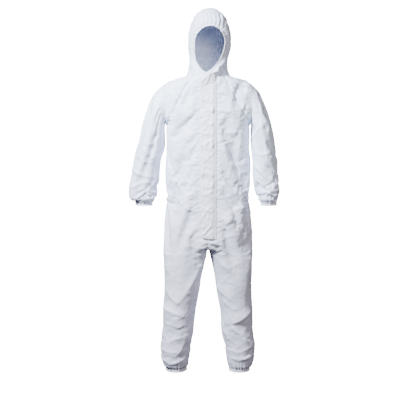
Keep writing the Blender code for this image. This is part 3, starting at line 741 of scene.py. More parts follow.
class Cloth:
    """A surface being cut into panels: where its points are on the flat sections and where they end up."""

    def __init__(self, base, final, faces):
        self.bm = bmesh.new()
        self.end = self.bm.verts.layers.float_vector.new("end")
        made = []
        for spot, end in zip(base, final):
            vert = self.bm.verts.new(spot)
            vert[self.end] = end
            made.append(vert)
        for face in faces:
            corners = list(dict.fromkeys(face))
            if len(corners) > 2:
                try:
                    self.bm.faces.new([made[i] for i in corners])
                except ValueError:
                    pass
        self.bm.verts.index_update()

    def base(self):
        return np.array([v.co for v in self.bm.verts])

    def cut(self, away, only=None):
        """Edges along the line where away is 0. away gives a number for each of an array of points."""
        self.bm.verts.index_update()
        values = away(self.base())
        near = 0.0002
        crossing = set()
        for edge in list(self.bm.edges):
            a, b = edge.verts
            first, second = values[a.index], values[b.index]
            if only is not None and not only(edge):
                continue
            if abs(first) < near:
                crossing.add(a)
            if abs(second) < near:
                crossing.add(b)
            if first * second < 0 and abs(first) >= near and abs(second) >= near:
                _, vert = bmesh.utils.edge_split(edge, a, first / (first - second))
                vert[self.end] = Vector(a[self.end]).lerp(Vector(b[self.end]), first / (first - second))
                crossing.add(vert)
        bmesh.ops.connect_verts(self.bm, verts=list(crossing))

    def piece(self, name, label, wanted):
        """The faces with the wanted label as an object with the fabric's thickness."""
        chosen = [face for face, mark in zip(self.bm.faces, label) if mark == wanted]
        used = {}
        corners = [[used.setdefault(v, len(used)) for v in face.verts] for face in chosen]
        return sheet_of(name, [v[self.end] for v in used], corners)

    def centres(self):
        return np.array([face.calc_center_median() for face in self.bm.faces])


def sheet_of(name, points, faces, thickness=FABRIC):
    """An object in fabric: its outside is the faces, and its thickness goes inwards."""
    return thickened(object_of(name, mesh_of(name, points, faces)), thickness)


def sheet_from(name, grid, flip):
    """The same from a grid of points."""
    return sheet_of(name, grid.reshape(-1, 3), grid_faces(*grid.shape[:2], False, flip))


def thickened(obj, thickness):
    mesh = obj.data
    bm = bmesh.new()
    bm.from_mesh(mesh)
    bmesh.ops.remove_doubles(bm, verts=bm.verts, dist=1e-6)
    loose = [v for v in bm.verts if not v.link_faces]
    bmesh.ops.delete(bm, geom=loose, context="VERTS")
    bm.to_mesh(mesh)
    bm.free()
    step = obj.modifiers.new("thickness", "SOLIDIFY")
    step.thickness = thickness
    step.offset = -1
    apply_modifiers(obj)
    obj.data.shade_smooth()
    obj.data.set_sharp_from_angle(angle=math.radians(62))
    return obj


def apply_modifiers(obj):
    shown = obj.evaluated_get(bpy.context.evaluated_depsgraph_get())
    mesh = bpy.data.meshes.new_from_object(shown)
    old = obj.data
    obj.modifiers.clear()
    obj.data = mesh
    mesh.name = obj.name
    bpy.data.meshes.remove(old)


# ------------------------------------------------------------------ the three surfaces


def stands_for(piece, node, finish, body):
    """The piece in its finish, riding its body in the place of the CAD node."""
    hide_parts(node)
    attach(piece, body)
    dress(piece, finish)
    return piece


def body_quads(grids):
    rows, columns = grids[0].shape[:2]
    right = grid_faces(rows, columns, False, False)
    left = grid_faces(rows, columns, False, True, rows * columns)
    return np.concatenate([right, left])


def near_armhole(points, ring):
    return np.clip(1 - (distance_to(points, ring) - 0.008) / 0.030, 0, 1)


def body_pins(rings):
    def pins(points):
        x, y, z = points.T
        out = np.clip((z - 1.285) / 0.015, 0, 1)
        out = np.maximum(out, np.clip((0.030 - z) / 0.012, 0, 1))
        out = np.maximum(out, 1 - zip_calm(points))
        for ring in rings:
            out = np.maximum(out, near_armhole(points, ring))
        waist = np.where(y > -0.02, -valley(z - WAIST_Z, 1, 0.012), 0)
        out = np.maximum(out, waist)
        crotch = -valley(x, 1, 0.012) * ((z < 0.61) & (z > 0.54))
        return np.maximum(out, crotch * 0.6)

    return pins


def body_gap(points):
    z = points[:, 2]
    leg = np.clip((0.60 - z) / 0.08, 0, 1)
    gap = 0.026 - 0.011 * leg
    return gap * (1 + valley(z - 0.02, 0.8, 0.03))


def sleeve_pins(ring):
    def pins(points):
        out = np.clip((0.775 - points[:, 2]) / 0.012, 0, 1)
        return np.maximum(out, near_armhole(points, ring))

    return pins


def sleeve_gap(points):
    return np.full(len(points), 0.017) - 0.008 * np.clip((0.80 - points[:, 2]) / 0.03, 0, 1)


def finished(name, grids, quads_of, closed, pins, gap, folds, more, meeting):
    """Base points, final points and faces of one surface, simulated and then creased, and its final grids."""
    moved = grids
    moved = slackened(name, grids, quads_of, closed, pins, gap, SLACK, FRAMES)
    quads = quads_of(grids)
    base, faces, where = joined(np.concatenate([g.reshape(-1, 3) for g in grids]), quads)
    after = np.zeros_like(base)
    after[where] = np.concatenate([g.reshape(-1, 3) for g in moved])
    final = creased(base, after, faces, folds[0], folds[1], more(base), meeting)
    rows, columns = grids[0].shape[:2]
    return base, final, faces, final[where].reshape(len(grids), rows, columns, 3)


SLACK = 0.035
FRAMES = 36


def make_body(rings, neck):
    grids = body_grids()
    meeting = [(ring, ring.mean(axis=0), ARMHOLE_FILL) for ring in rings]
    meeting.append((neck, neck.mean(axis=0) - NECK_DROP, 0.0))
    base, final, faces, shaped = finished(
        "body",
        grids,
        body_quads,
        closed=False,
        pins=body_pins(rings),
        gap=body_gap,
        folds=(FRONT_FOLDS, BACK_FOLDS),
        more=lambda p: body_seams(p) + body_gathers(p),
        meeting=meeting,
    )
    cloth = Cloth(base, final, faces)
    for side in (-1, 1):
        cloth.cut(lambda p: p[:, 0] - side * ARMHOLE_X, lambda e: max(v.co.z for v in e.verts) > 1.085)
        cloth.cut(
            lambda p: np.where(p[:, 0] * side > 0, raglan_distance(p), 1.0),
            lambda e: min(v.co.x * side for v in e.verts) > 0.03 and min(v.co.z for v in e.verts) > 1.05,
        )
        cloth.cut(
            lambda p: p[:, 0] - side * ZIP_SLOT,
            lambda e: max(v.co.z for v in e.verts) > ZIP_BOTTOM_Z and max(v.co.y for v in e.verts) < 0,
        )
    centres = cloth.centres()
    x, y, z = centres.T
    outside = (np.abs(x) > ARMHOLE_X) & (z > 1.0985)
    yoke = (raglan_distance(centres) > 0) & (z > 1.075) & (np.abs(x) > 0.03)
    slot = (np.abs(x) < ZIP_SLOT) & (z > ZIP_BOTTOM_Z) & (y < 0)
    side = np.where(x > 0, "left", "right")
    face = np.where(y < 0, "front", "back")
    label = np.where(yoke, np.char.add("yoke_", side), np.char.add(np.char.add(face, "_"), side))
    label = np.where(outside | slot, "", label)
    pieces = {}
    for mark in ("front_left", "front_right", "back_left", "back_right", "yoke_left", "yoke_right"):
        node = mark if mark.startswith("yoke") else f"{mark}_panel"
        piece = cloth.piece(f"{node}_cloth", label, mark)
        pieces[node] = stands_for(piece, node, "laminate", "suit")
    cloth.bm.free()
    return pieces, shaped


def make_sleeve(side_name, side, grid):
    ring = grid[0]
    _, final, faces, shaped = finished(
        f"sleeve_{side_name}",
        [grid],
        lambda grids: grid_faces(*grids[0].shape[:2], True, side < 0),
        closed=True,
        pins=sleeve_pins(ring),
        gap=sleeve_gap,
        folds=(SLEEVE_FOLDS, BACK_FOLDS),
        more=lambda p: sleeve_gathers(p, side),
        meeting=[(ring, ring.mean(axis=0), ARMHOLE_FILL)],
    )
    body = f"sleeve_{side_name}"
    piece = sheet_of(f"{body}_cloth", final, faces)
    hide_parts(body)
    dress(piece, "laminate")
    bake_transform(piece)
    return piece, shaped[0]


def make_hood(neck):
    grid = hood_grid()
    base, final, faces = joined_hood(grid, neck)
    cloth = Cloth(base, final, faces)
    cloth.cut(lambda p: face_distance(p)[0], lambda e: max(v.co.y for v in e.verts) < 0)
    for side in (-1, 1):
        cloth.cut(
            lambda p: p[:, 0] - side * CENTRE_STRIP,
            lambda e: max(v.co.z for v in e.verts) > CHIN_DIVIDE_Z or max(v.co.y for v in e.verts) > 0,
        )
    centres = cloth.centres()
    x, y, z = centres.T
    hole = face_distance(centres)[0] < 0
    strip = (np.abs(x) < CENTRE_STRIP) & ((z > CHIN_DIVIDE_Z) | (y > 0))
    label = np.where(strip, "centre", np.where(x > 0, "left", "right"))
    label = np.where(hole, "", label)
    pieces = {}
    for mark in ("centre", "left", "right"):
        node = f"hood_{mark}_panel"
        piece = cloth.piece(f"{node}_cloth", label, mark)
        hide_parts(node)
        dress(piece, "laminate")
        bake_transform(piece)
        pieces[node] = piece
    cloth.bm.free()
    return pieces, BVHTree.FromPolygons(final.tolist(), [list(dict.fromkeys(f)) for f in faces.tolist()])


def joined_hood(grid, neck):
    quads = grid_faces(*grid.shape[:2], True, False)
    base, faces, _ = joined(grid.reshape(-1, 3), quads)
    meeting = [(neck, neck.mean(axis=0) - NECK_DROP, 0.0)]
    final = creased(base, base, faces, HOOD_FOLDS, HOOD_BACK_FOLDS, hood_shape(base), meeting)
    up = np.clip((base[:, 2] - 1.325) / 0.13, 0, 1)
    final[:, 0] += HOOD_LEAN * up * up * (3 - 2 * up)
    return base, final, faces


# ------------------------------------------------------------------ small pieces


def band(name, grid, rows, columns, inward, inset, thickness):
    """A strip that follows part of a finished surface from inside."""
    part = grid[np.ix_(rows, columns)]
    quads = grid_faces(len(rows), len(columns), False, inward > 0)
    points = part.reshape(-1, 3)
    points = points - normals(points, quads) * inset
    return sheet_of(name, points, quads, thickness)


def rows_between(grid, column, low, high):
    z = grid[:, column, 2]
    return [int(i) for i in np.nonzero((z > low) & (z < high))[0]]


def zip_frame(points):
    """Points given across, inwards from and up the zip's line, in metres from its top, as world points."""
    up = np.array([0, FRONT_LEAN, 1]) / math.hypot(1, FRONT_LEAN)
    inward = np.array([0, 1, -FRONT_LEAN]) / math.hypot(1, FRONT_LEAN)
    top = np.array([0, -FRONT_AT_ZIP_TOP, ZIP_TOP_Z])
    points = np.asarray(points, float)
    return top + points[..., :1] * [1, 0, 0] + points[..., 1:2] * inward + points[..., 2:3] * up


def boxes(name, centres, axes, sizes):
    """Many small blocks in one mesh, with the corners of their long edges taken off."""
    quarter = [(-0.5, -0.3), (-0.3, -0.5), (0.3, -0.5), (0.5, -0.3)]
    profile = quarter + [(-u, -v) for u, v in quarter]
    points, faces = [], []
    for centre, axis in zip(centres, axes):
        first = len(points)
        along, across, out = (np.array(a) for a in axis)
        for end in (-0.5, 0.5):
            for u, v in profile:
                points.append(centre + along * end * sizes[0] + across * u * sizes[1] + out * v * sizes[2])
        count = len(profile)
        for i in range(count):
            k = (i + 1) % count
            faces.append([first + i, first + k, first + count + k, first + count + i])
        faces.append([first + i for i in reversed(range(count))])
        faces.append([first + count + i for i in range(count)])
    return object_of(name, mesh_of(name, points, faces))


def stitches(name, line, out, pitch=0.0042, length=0.0029, width=0.0007):
    """Stitches along a line of points. out says which way is outwards at each point."""
    line = np.asarray(line, float)
    steps = np.linalg.norm(np.diff(line, axis=0), axis=1)
    run = np.concatenate([[0], np.cumsum(steps)])
    centres, axes = [], []
    for at in np.arange(pitch, run[-1] - pitch / 2, pitch):
        i = int(np.clip(np.searchsorted(run, at) - 1, 0, len(steps) - 1))
        share = (at - run[i]) / max(steps[i], 1e-9)
        along = (line[i + 1] - line[i]) / max(steps[i], 1e-9)
        normal = out[i] + (out[i + 1] - out[i]) * share
        across = np.cross(normal, along)
        across /= max(np.linalg.norm(across), 1e-9)
        normal = np.cross(along, across)
        centres.append(line[i] + (line[i + 1] - line[i]) * share + normal * 0.0001)
        axes.append((along, across, normal))
    return boxes(name, centres, axes, (length, width, width * 0.8))


FLAP_TOP, FLAP_BOTTOM = -0.014, -0.690
FLAP_ROWS, FLAP_COLUMNS = 250, 30
FLAP_SECTION = [
    (0.0000, 0.0336, 0.0003),
    (0.0041, 0.0294, -0.0014),
    (0.0095, 0.0242, -0.0036),
    (0.0163, 0.0180, -0.0064),
    (0.0631, -0.0300, -0.0070),
]
FLAP_CREASES = [
    # across and up the zip's line, start to end, height, width
    ((0.026, -0.480), (-0.030, -0.505), 0.0026, 0.008),
    ((0.020, -0.515), (-0.028, -0.492), 0.0022, 0.007),
    ((0.028, -0.560), (-0.020, -0.590), 0.0024, 0.008),
    ((-0.030, -0.330), (0.010, -0.360), 0.0020, 0.008),
    ((-0.030, -0.410), (0.014, -0.395), 0.0018, 0.007),
    ((-0.030, -0.230), (0.005, -0.250), 0.0020, 0.009),
    ((0.028, -0.150), (-0.010, -0.120), 0.0018, 0.009),
    ((0.028, -0.290), (-0.006, -0.270), 0.0016, 0.009),
    ((-0.030, -0.100), (0.010, -0.075), 0.0022, 0.009),
    ((-0.030, -0.610), (0.016, -0.625), 0.0028, 0.007),
    ((-0.022, -0.672), (0.010, -0.636), 0.0060, 0.004),
    ((-0.008, -0.684), (0.022, -0.650), 0.0050, 0.004),
    ((-0.028, -0.640), (-0.004, -0.628), 0.0040, 0.004),
]


def make_flap():
    z = np.linspace(FLAP_TOP, FLAP_BOTTOM, FLAP_ROWS + 1)
    run = np.linspace(0, FLAP_SECTION[-1][0], FLAP_COLUMNS + 1)
    x, y = smooth_table(FLAP_SECTION, run).T
    x = np.broadcast_to(x, (len(z), len(x))).copy()
    y = np.broadcast_to(y, x.shape).copy()
    z = np.broadcast_to(z[:, None], x.shape).copy()
    free = np.broadcast_to(run[None, :] / run[-1], x.shape)
    flat = np.stack([x.ravel(), np.zeros(x.size), z.ravel()], axis=1)
    lift = crumple(flat, 0.040, 0.0040) + crumple(flat + 3, 0.018, 0.0022)
    lift += fold_heights(flat, np.ones(len(flat)), random_creases(5, 90, (-0.035, -0.69), (0.03, -0.02)))
    creases = [([start, end], height, width, width * 1.3) for start, end, height, width in FLAP_CREASES]
    lift += fold_heights(flat, np.ones(len(flat)), creases)
    lift = lift.reshape(x.shape)
    edge = np.sin(z * 43) * 0.0012 + np.sin(z * 97 + 1) * 0.0007
    x = x + free**4 * edge
    y = y - lift * np.clip(free * 4, 0, 1) - free**6 * (0.0012 + 0.0014 * np.sin(z * 60))
    corner = np.clip((FLAP_BOTTOM + 0.018 - z) / 0.018, 0, 1) * np.clip((free - 0.55) / 0.45, 0, 1)
    z = z + corner * 0.008
    y = np.minimum(y, -0.0058 * np.clip(free * 6, 0.3, 1))
    grid = zip_frame(np.stack([x, y, z], axis=-1))
    piece = sheet_from("storm_flap_cloth", grid, False)
    stands_for(piece, "storm_flap", "flap", "flap")
    out = np.array([0, -1, 0])
    for number, column in (("near", 1), ("far", 3)):
        line = grid[4:-4, column] + out * 0.0004
        row = stitches(f"flap_stitches_{number}", line, np.broadcast_to(out, line.shape))
        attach(row, "flap")
        dress(row, "thread")


# Chin flap: its upper and its lower edge from the sewn side to the free one, as x and height, and its bow
CHIN_UPPER = [(0.0, 0.0340, 1.3310), (0.45, 0.0090, 1.3220), (1.0, -0.0260, 1.2960)]
CHIN_LOWER = [(0.0, 0.0312, 1.2700), (0.35, 0.0100, 1.2760), (1.0, -0.0340, 1.2560)]
CHIN_BOW = [(0.0, 0.0020), (0.12, 0.0090), (0.35, 0.0155), (0.6, 0.0180), (1.0, 0.0165)]


def make_chin_flap():
    """The loose corner at the top of the flap, folded over towards the wearer's right."""
    rows, columns = 44, 44
    down = np.linspace(0, 1, rows + 1)[:, None]
    out = np.linspace(0, 1, columns + 1)
    upper, lower = smooth_table(CHIN_UPPER, out), smooth_table(CHIN_LOWER, out)
    bow = smooth_table(CHIN_BOW, out)[:, 0][None, :]
    x = upper[:, 0] + (lower[:, 0] - upper[:, 0]) * down
    z = upper[:, 1] + (lower[:, 1] - upper[:, 1]) * down
    rolled = np.clip(1 - down / 0.16, 0, 1) ** 2
    y = -bow * (1.12 - 0.62 * down) + 0.0060 * rolled
    fold = np.abs(out[None, :] - 0.45 - 0.20 * down)
    y = y - 0.0030 * np.exp(-fold / 0.06) * np.clip(bow * 100, 0, 1)
    flat = np.stack([x.ravel(), 0 * x.ravel(), z.ravel()], axis=1)
    y = y - crumple(flat + 9, 0.020, 0.0022).reshape(x.shape) * np.clip(out * 3, 0, 1)
    grid = np.stack([x, -FRONT_AT_ZIP_TOP + y, z], axis=-1)
    piece = sheet_from("chin_flap_cloth", grid, False)
    stands_for(piece, "chin_flap", "flap", "flap")


# The hood's turned-out edge beside the chin: along the opening, and its own free edge, as x, y and z
TURNED_EDGE = [(0.0, 0.0060, -0.1140, 1.3200), (0.4, 0.0200, -0.1130, 1.3290), (1.0, 0.0440, -0.1040, 1.3530)]
TURNED_FREE = [(0.0, 0.0120, -0.1260, 1.3190), (0.4, 0.0290, -0.1290, 1.3240), (1.0, 0.0440, -0.1190, 1.3260)]


def make_hood_edge():
    """Beside the chin the hood's edge is turned outwards and shows its inside."""
    out = np.linspace(0, 1, 25)
    near, free = smooth_table(TURNED_EDGE, out), smooth_table(TURNED_FREE, out)
    down = np.linspace(0, 1, 17)[:, None, None]
    grid = near[None] + (free - near)[None] * down
    grid[:, :, 1] -= 0.0035 * np.sin(down[:, :, 0] * math.pi)
    piece = sheet_from("hood_edge_turned", grid, True)
    dress(piece, "laminate")
    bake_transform(piece)


TOOTH_PITCH = 0.0015
ELASTIC_INSET, ELASTIC_THICKNESS = 0.0014, 0.0006


def make_zip():
    up = zip_frame([0, 0, 1]) - zip_frame([0, 0, 0])
    inward = zip_frame([0, 1, 0]) - zip_frame([0, 0, 0])
    for side_name, side in (("left", 1), ("right", -1)):
        at = np.arange(-0.012 - (side + 1) * TOOTH_PITCH / 4, -ZIP_LENGTH + 0.010, -TOOTH_PITCH)
        centres = zip_frame([[side * 0.0018, 0.0019, z] for z in at])
        axes = [((1, 0, 0), up, inward)] * len(centres)
        teeth = boxes(f"zip_teeth_{side_name}", centres, axes, (0.0034, 0.0009, 0.0026))
        stands_for(teeth, f"zip_coil_{side_name}", "zip_plastic", "suit")


def make_elastics(body, sleeves):
    side_column = BODY_COLUMNS
    around = list(range(2 * side_column + 1))
    for side_name, side, grid in (("right", -1, body[0]), ("left", 1, body[1])):
        sleeve = sleeves[side_name]
        ring = [i % SLEEVE_COLUMNS for i in range(SLEEVE_COLUMNS + 1)]
        ankle_rows = rows_between(grid, side_column, 0.009, 0.020)
        waist_rows = rows_between(grid, side_column, 0.758, 0.774)
        cuff_rows = rows_between(sleeve, 0, 0.749, 0.757)
        behind = around[side_column:]
        for place, node, surface, rows, columns, inward, owner in (
            ("ankle", f"ankle_elastic_{side_name}", grid, ankle_rows, around, side, "suit"),
            ("waist", "waist_elastic", grid, waist_rows, behind, side, "suit"),
            ("cuff", f"cuff_elastic_{side_name}", sleeve, cuff_rows, ring, -side, f"sleeve_{side_name}"),
        ):
            name = f"{place}_elastic_{side_name}_band"
            strip = band(name, surface, rows, columns, inward, ELASTIC_INSET, ELASTIC_THICKNESS)
            stands_for(strip, node, "elastic", owner)


def make_label(body):
    """Blank, and sewn inside the nape."""
    back = body[1]
    rows = rows_between(back, 2 * BODY_COLUMNS, 1.268, 1.298)
    columns = [2 * BODY_COLUMNS - 6 + i for i in range(7)]
    both = np.concatenate([back[:, columns], (back[:, columns] * [-1, 1, 1])[:, -2::-1]], axis=1)
    label = band("size_label_cloth", both, rows, list(range(both.shape[1])), 1, 0.0022, 0.0003)
    stands_for(label, "size_label", "label", "suit")


def face_points(count, grow):
    """The face opening's outline in front view, as x and z."""
    angle = np.arange(count) * 2 * math.pi / count
    across, up = np.cos(angle), np.sin(angle)
    narrow = np.where(up > 0, 1.0, FACE_NARROWING)
    x = FACE_CENTRE[0] + np.sign(across) * np.abs(across) ** narrow * (FACE_HALF_WIDTH + grow)
    rise = up * (np.where(up > 0, FACE_UP, FACE_DOWN) + grow)
    return x - FACE_SHEAR * np.maximum(-rise, 0), FACE_CENTRE[1] + rise


def on_hood(tree, count, grow, deeper):
    """A line round the face opening on the hood, with the way out at each of its points."""
    line, out = [], []
    for x, z in zip(*face_points(count, grow)):
        hit, normal, _, _ = tree.ray_cast(Vector((x, -0.4, z)), Vector((0, 1, 0)))
        if hit is not None:
            line.append(np.array(hit) + [0, deeper, 0])
            out.append(-np.array(normal) if normal.y > 0 else np.array(normal))
    return line, out


def make_face_edge(tree):
    """The elastic in the rolled edge of the face opening, and the stitches that hold it."""
    line, _ = on_hood(tree, 220, 0.0025, 0.0022)
    curve = bpy.data.curves.new("face_elastic_cord", "CURVE")
    curve.dimensions = "3D"
    curve.bevel_depth = 0.0016
    curve.bevel_resolution = 2
    spline = curve.splines.new("POLY")
    spline.points.add(len(line) - 1)
    for point, spot in zip(spline.points, line):
        point.co = (*spot, 1)
    spline.use_cyclic_u = True
    maker = object_of("face_elastic_curve", curve)
    mesh = bpy.data.meshes.new_from_object(maker.evaluated_get(bpy.context.evaluated_depsgraph_get()))
    bpy.data.objects.remove(maker)
    cord = object_of("face_elastic_cord", mesh)
    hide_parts("face_elastic")
    dress(cord, "elastic")
    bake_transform(cord)
    line, out = on_hood(tree, 260, 0.0085, -0.0003)
    row = stitches("face_stitches", line + line[:1], out + out[:1])
    dress(row, "thread")
    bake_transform(row)


def make_hem_stitches(body, sleeves):
    for side_name, half in (("right", body[0]), ("left", body[1])):
        sleeve = sleeves[side_name]
        for name, piece, height, owner in (
            ("ankle", half, 0.020, "suit"),
            ("cuff", np.concatenate([sleeve, sleeve[:, :1]], axis=1), 0.760, f"sleeve_{side_name}"),
        ):
            line = piece[rows_between(piece, 0, height - 0.004, height + 0.004)[0]]
            out = line - line.mean(axis=0)
            out /= np.linalg.norm(out, axis=1, keepdims=True)
            obj = stitches(f"{name}_stitches_{side_name}", line + out * 0.0003, out)
            dress(obj, "thread")
            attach(obj, owner)


# ------------------------------------------------------------------ finishes


class Shader:
    """A material being put together from nodes."""

    def __init__(self, name):
        self.material = bpy.data.materials.new(name)
        self.material.use_nodes = True
        self.tree = self.material.node_tree
        self.surface = self.tree.nodes["Principled BSDF"]
        self.place = self.add("ShaderNodeTexCoord").outputs["Object"]

    def add(self, kind):
        return self.tree.nodes.new(kind)

    def maths(self, kind, operation, first):
        """A node that calculates, with its first input linked."""
        node = self.add(kind)
        node.operation = operation
        self.link(first, node.inputs[0])
        return node

    def link(self, source, target):
        self.tree.links.new(source, target)

    def noise(self, scale, detail, rough=0.5):
        node = self.add("ShaderNodeTexNoise")
        node.inputs["Scale"].default_value = scale
        node.inputs["Detail"].default_value = detail
        node.inputs["Roughness"].default_value = rough
        self.link(self.place, node.inputs["Vector"])
        return node.outputs["Fac"]

    def cells(self, scale, feature="F1", stretch=(1, 1, 1)):
        node = self.add("ShaderNodeTexVoronoi")
        node.feature = feature
        node.inputs["Scale"].default_value = scale
        self.link(self.stretched(stretch), node.inputs["Vector"])
        return node.outputs["Distance"]

    def ribs(self, scale, direction, distortion=0.0):
        node = self.add("ShaderNodeTexWave")
        node.bands_direction = direction
        node.inputs["Scale"].default_value = scale
        node.inputs["Distortion"].default_value = distortion
        self.link(self.place, node.inputs["Vector"])
        return node.outputs["Fac"]

    def stretched(self, stretch):
        if stretch == (1, 1, 1):
            return self.place
        node = self.add("ShaderNodeMapping")
        node.inputs["Scale"].default_value = stretch
        self.link(self.place, node.inputs["Vector"])
        return node.outputs["Vector"]

    def ramp(self, factor, stops):
        node = self.add("ShaderNodeValToRGB")
        ramp = node.color_ramp
        while len(ramp.elements) < len(stops):
            ramp.elements.new(0.5)
        for element, (at, colour) in zip(ramp.elements, stops):
            element.position = at
            element.color = (*colour, 1)
        self.link(factor, node.inputs["Fac"])
        return node.outputs["Color"]

    def height(self, top):
        """0 at the floor and 1 at the top's height."""
        node = self.add("ShaderNodeSeparateXYZ")
        self.link(self.place, node.inputs[0])
        share = self.maths("ShaderNodeMath", "DIVIDE", node.outputs["Z"])
        share.inputs[1].default_value = top
        return share.outputs[0]

    def times(self, first, second):
        node = self.maths("ShaderNodeVectorMath", "MULTIPLY", first)
        self.link(second, node.inputs[1])
        return node.outputs[0]

    def colour(self, factor, stops):
        self.link(self.ramp(factor, stops), self.surface.inputs["Base Color"])

    def roughness(self, factor, low, high):
        greys = [(0.3, (low, low, low)), (0.7, (high, high, high))]
        self.link(self.ramp(factor, greys), self.surface.inputs["Roughness"])

    def bump(self, heights):
        """Bumps one over another, each a height with its strength and its depth in metres."""
        below = None
        for height, strength, depth in heights:
            node = self.add("ShaderNodeBump")
            node.inputs["Strength"].default_value = strength
            node.inputs["Distance"].default_value = depth
            self.link(height, node.inputs["Height"])
            if below is not None:
                self.link(below, node.inputs["Normal"])
            below = node.outputs["Normal"]
        self.link(below, self.surface.inputs["Normal"])

    def set(self, **values):
        for key, value in values.items():
            self.surface.inputs[key.replace("_", " ")].default_value = value


# Painted shade, as shares of 1.6 m of height: the film's colour is darker and warmer towards the ankles and
# darker on the hood, and lightest at the chest. It stands in for the lamps' fall-off and the warm light from
# below.
PAINTED_SHADE_BY_HEIGHT = [
    (0.05, (0.76, 0.69, 0.72)),
    (0.38, (0.84, 0.79, 0.81)),
    (0.56, (0.93, 0.91, 0.93)),
    (0.68, (1.0, 1.0, 1.0)),
    (0.80, (0.97, 0.97, 0.98)),
    (0.88, (0.84, 0.82, 0.84)),
]


def laminate_material(name, light, dark):
    """White film on a point-bonded nonwoven."""
    made = Shader(name)
    cloud = made.ramp(made.noise(26, 4, 0.6), [(0.35, dark), (0.62, light)])
    # Painted shade: the mottled film colour is multiplied by the painted shade by height, darker and warmer
    # low down and darker on the hood
    made.link(made.times(cloud, made.ramp(made.height(1.6), PAINTED_SHADE_BY_HEIGHT)), made.surface.inputs["Base Color"])
    made.roughness(made.noise(60, 3), 0.50, 0.60)
    made.set(Sheen_Weight=0.10, Sheen_Roughness=0.45)
    made.bump(
        [
            (made.cells(11, "DISTANCE_TO_EDGE", (1, 1, 0.6)), 0.45, 0.010),
            (made.cells(34, "DISTANCE_TO_EDGE"), 0.40, 0.0035),
            (made.noise(150, 3, 0.6), 0.25, 0.0010),
            (made.cells(900), 0.20, 0.00025),
        ]
    )
    return made.material


def elastic_material():
    made = Shader("elastic_knit")
    ribs = made.ribs(420, "Z", 1.0)
    made.colour(ribs, [(0.2, (0.74, 0.73, 0.70)), (0.8, (0.90, 0.89, 0.86))])
    made.set(Roughness=0.82, Sheen_Weight=0.2)
    made.bump([(ribs, 0.5, 0.0006), (made.noise(900, 2), 0.3, 0.0003)])
    return made.material


def woven_material(name, light, dark, scale, depth):
    """Warp and weft, over and under."""
    made = Shader(name)
    warp, weft = made.ribs(scale, "X"), made.ribs(scale, "Z")
    both = made.maths("ShaderNodeMath", "MULTIPLY", warp)
    made.link(weft, both.inputs[1])
    made.colour(both.outputs[0], [(0.1, dark), (0.7, light)])
    made.set(Roughness=0.78)
    made.bump([(both.outputs[0], 0.6, depth), (made.noise(700, 2), 0.2, depth)])
    return made.material


def plastic_material():
    made = Shader("zip_plastic")
    made.colour(made.noise(240, 3), [(0.3, (0.86, 0.86, 0.85)), (0.7, (0.91, 0.91, 0.90))])
    made.roughness(made.noise(500, 2), 0.30, 0.42)
    made.bump([(made.noise(900, 2), 0.12, 0.0002)])
    return made.material


def adhesive_material():
    made = Shader("adhesive_liner")
    made.colour(made.noise(80, 4), [(0.3, (0.78, 0.74, 0.64)), (0.7, (0.84, 0.81, 0.72))])
    made.set(Roughness=0.30, Coat_Weight=0.4, Coat_Roughness=0.2)
    made.bump([(made.noise(120, 3), 0.2, 0.0008)])
    return made.material


FINISHES = {}


def prepare_finishes():
    FINISHES.update(
        laminate=laminate_material("laminate", (0.77, 0.835, 0.99), (0.73, 0.795, 0.96)),
        flap=laminate_material("laminate_flap", (0.83, 0.865, 0.95), (0.80, 0.835, 0.92)),
        elastic=elastic_material(),
        tape=woven_material("zip_tape", (0.90, 0.90, 0.89), (0.76, 0.76, 0.75), 520, 0.0004),
        label=woven_material("label_satin", (0.94, 0.94, 0.93), (0.86, 0.86, 0.85), 900, 0.0002),
        thread=woven_material("thread", (0.93, 0.93, 0.93), (0.84, 0.84, 0.85), 1500, 0.0002),
        zip_plastic=plastic_material(),
        adhesive=adhesive_material(),
    )


def dress(obj, finish):
    obj.data.materials.clear()
    obj.data.materials.append(FINISHES[finish])
    for face in obj.data.polygons:
        face.material_index = 0


def dress_cad_nodes():
    kept = {
        "zip_plastic": "zip_slider zip_pull zip_bottom_stop zip_top_stop_left zip_top_stop_right",
        "tape": "zip_tape_left zip_tape_right",
        "adhesive": "flap_adhesive_strip",
    }
    for finish, names in kept.items():
        for name in names.split():
            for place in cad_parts[name].material_slots:
                place.material = FINISHES[finish]


# ------------------------------------------------------------------ studio


def glowing(name, strength, colour):
    """Paper that glows and reflects nothing. Its glow is kept off the suit, which only the lamps light."""
    made = Shader(name)
    cloud = made.noise(2.0, 2)
    dim = tuple(part * 0.985 for part in colour)
    made.link(made.ramp(cloud, [(0.2, dim), (0.8, colour)]), made.surface.inputs["Emission Color"])
    made.set(Base_Color=(0, 0, 0, 1), Roughness=1.0, Specular_IOR_Level=0.0, Emission_Strength=strength)
    return made.material


def make_stage():
    """A pale floor and a pale round backdrop."""
    sides, reach, height, low = 64, 9.0, 8.0, -0.0015
    turns = [2 * math.pi * i / sides for i in range(sides)]
    ring = [(reach * math.cos(turn), reach * math.sin(turn)) for turn in turns]
    disc = [(x, y, low) for x, y in ring]
    floor = object_of("studio_floor", mesh_of("studio_floor", disc, [list(range(sides))]))
    points = [(x, y, z) for z in (low, height) for x, y in ring]
    faces = [[i, (i + 1) % sides, sides + (i + 1) % sides, sides + i] for i in range(sides)]
    faces.append([sides + i for i in range(sides)])
    backdrop = object_of("studio_backdrop", mesh_of("studio_backdrop", points, faces))
    floor.data.materials.append(glowing("studio_floor_paper", PAPER_GLOW, (0.93, 0.93, 0.935)))
    backdrop.data.materials.append(glowing("studio_backdrop_paper", PAPER_GLOW, (0.95, 0.95, 0.95)))
    lit = bpy.data.collections.new("lit_by_the_paper")
    lit.objects.link(floor)
    for obj in (floor, backdrop):
        obj.light_linking.receiver_collection = lit


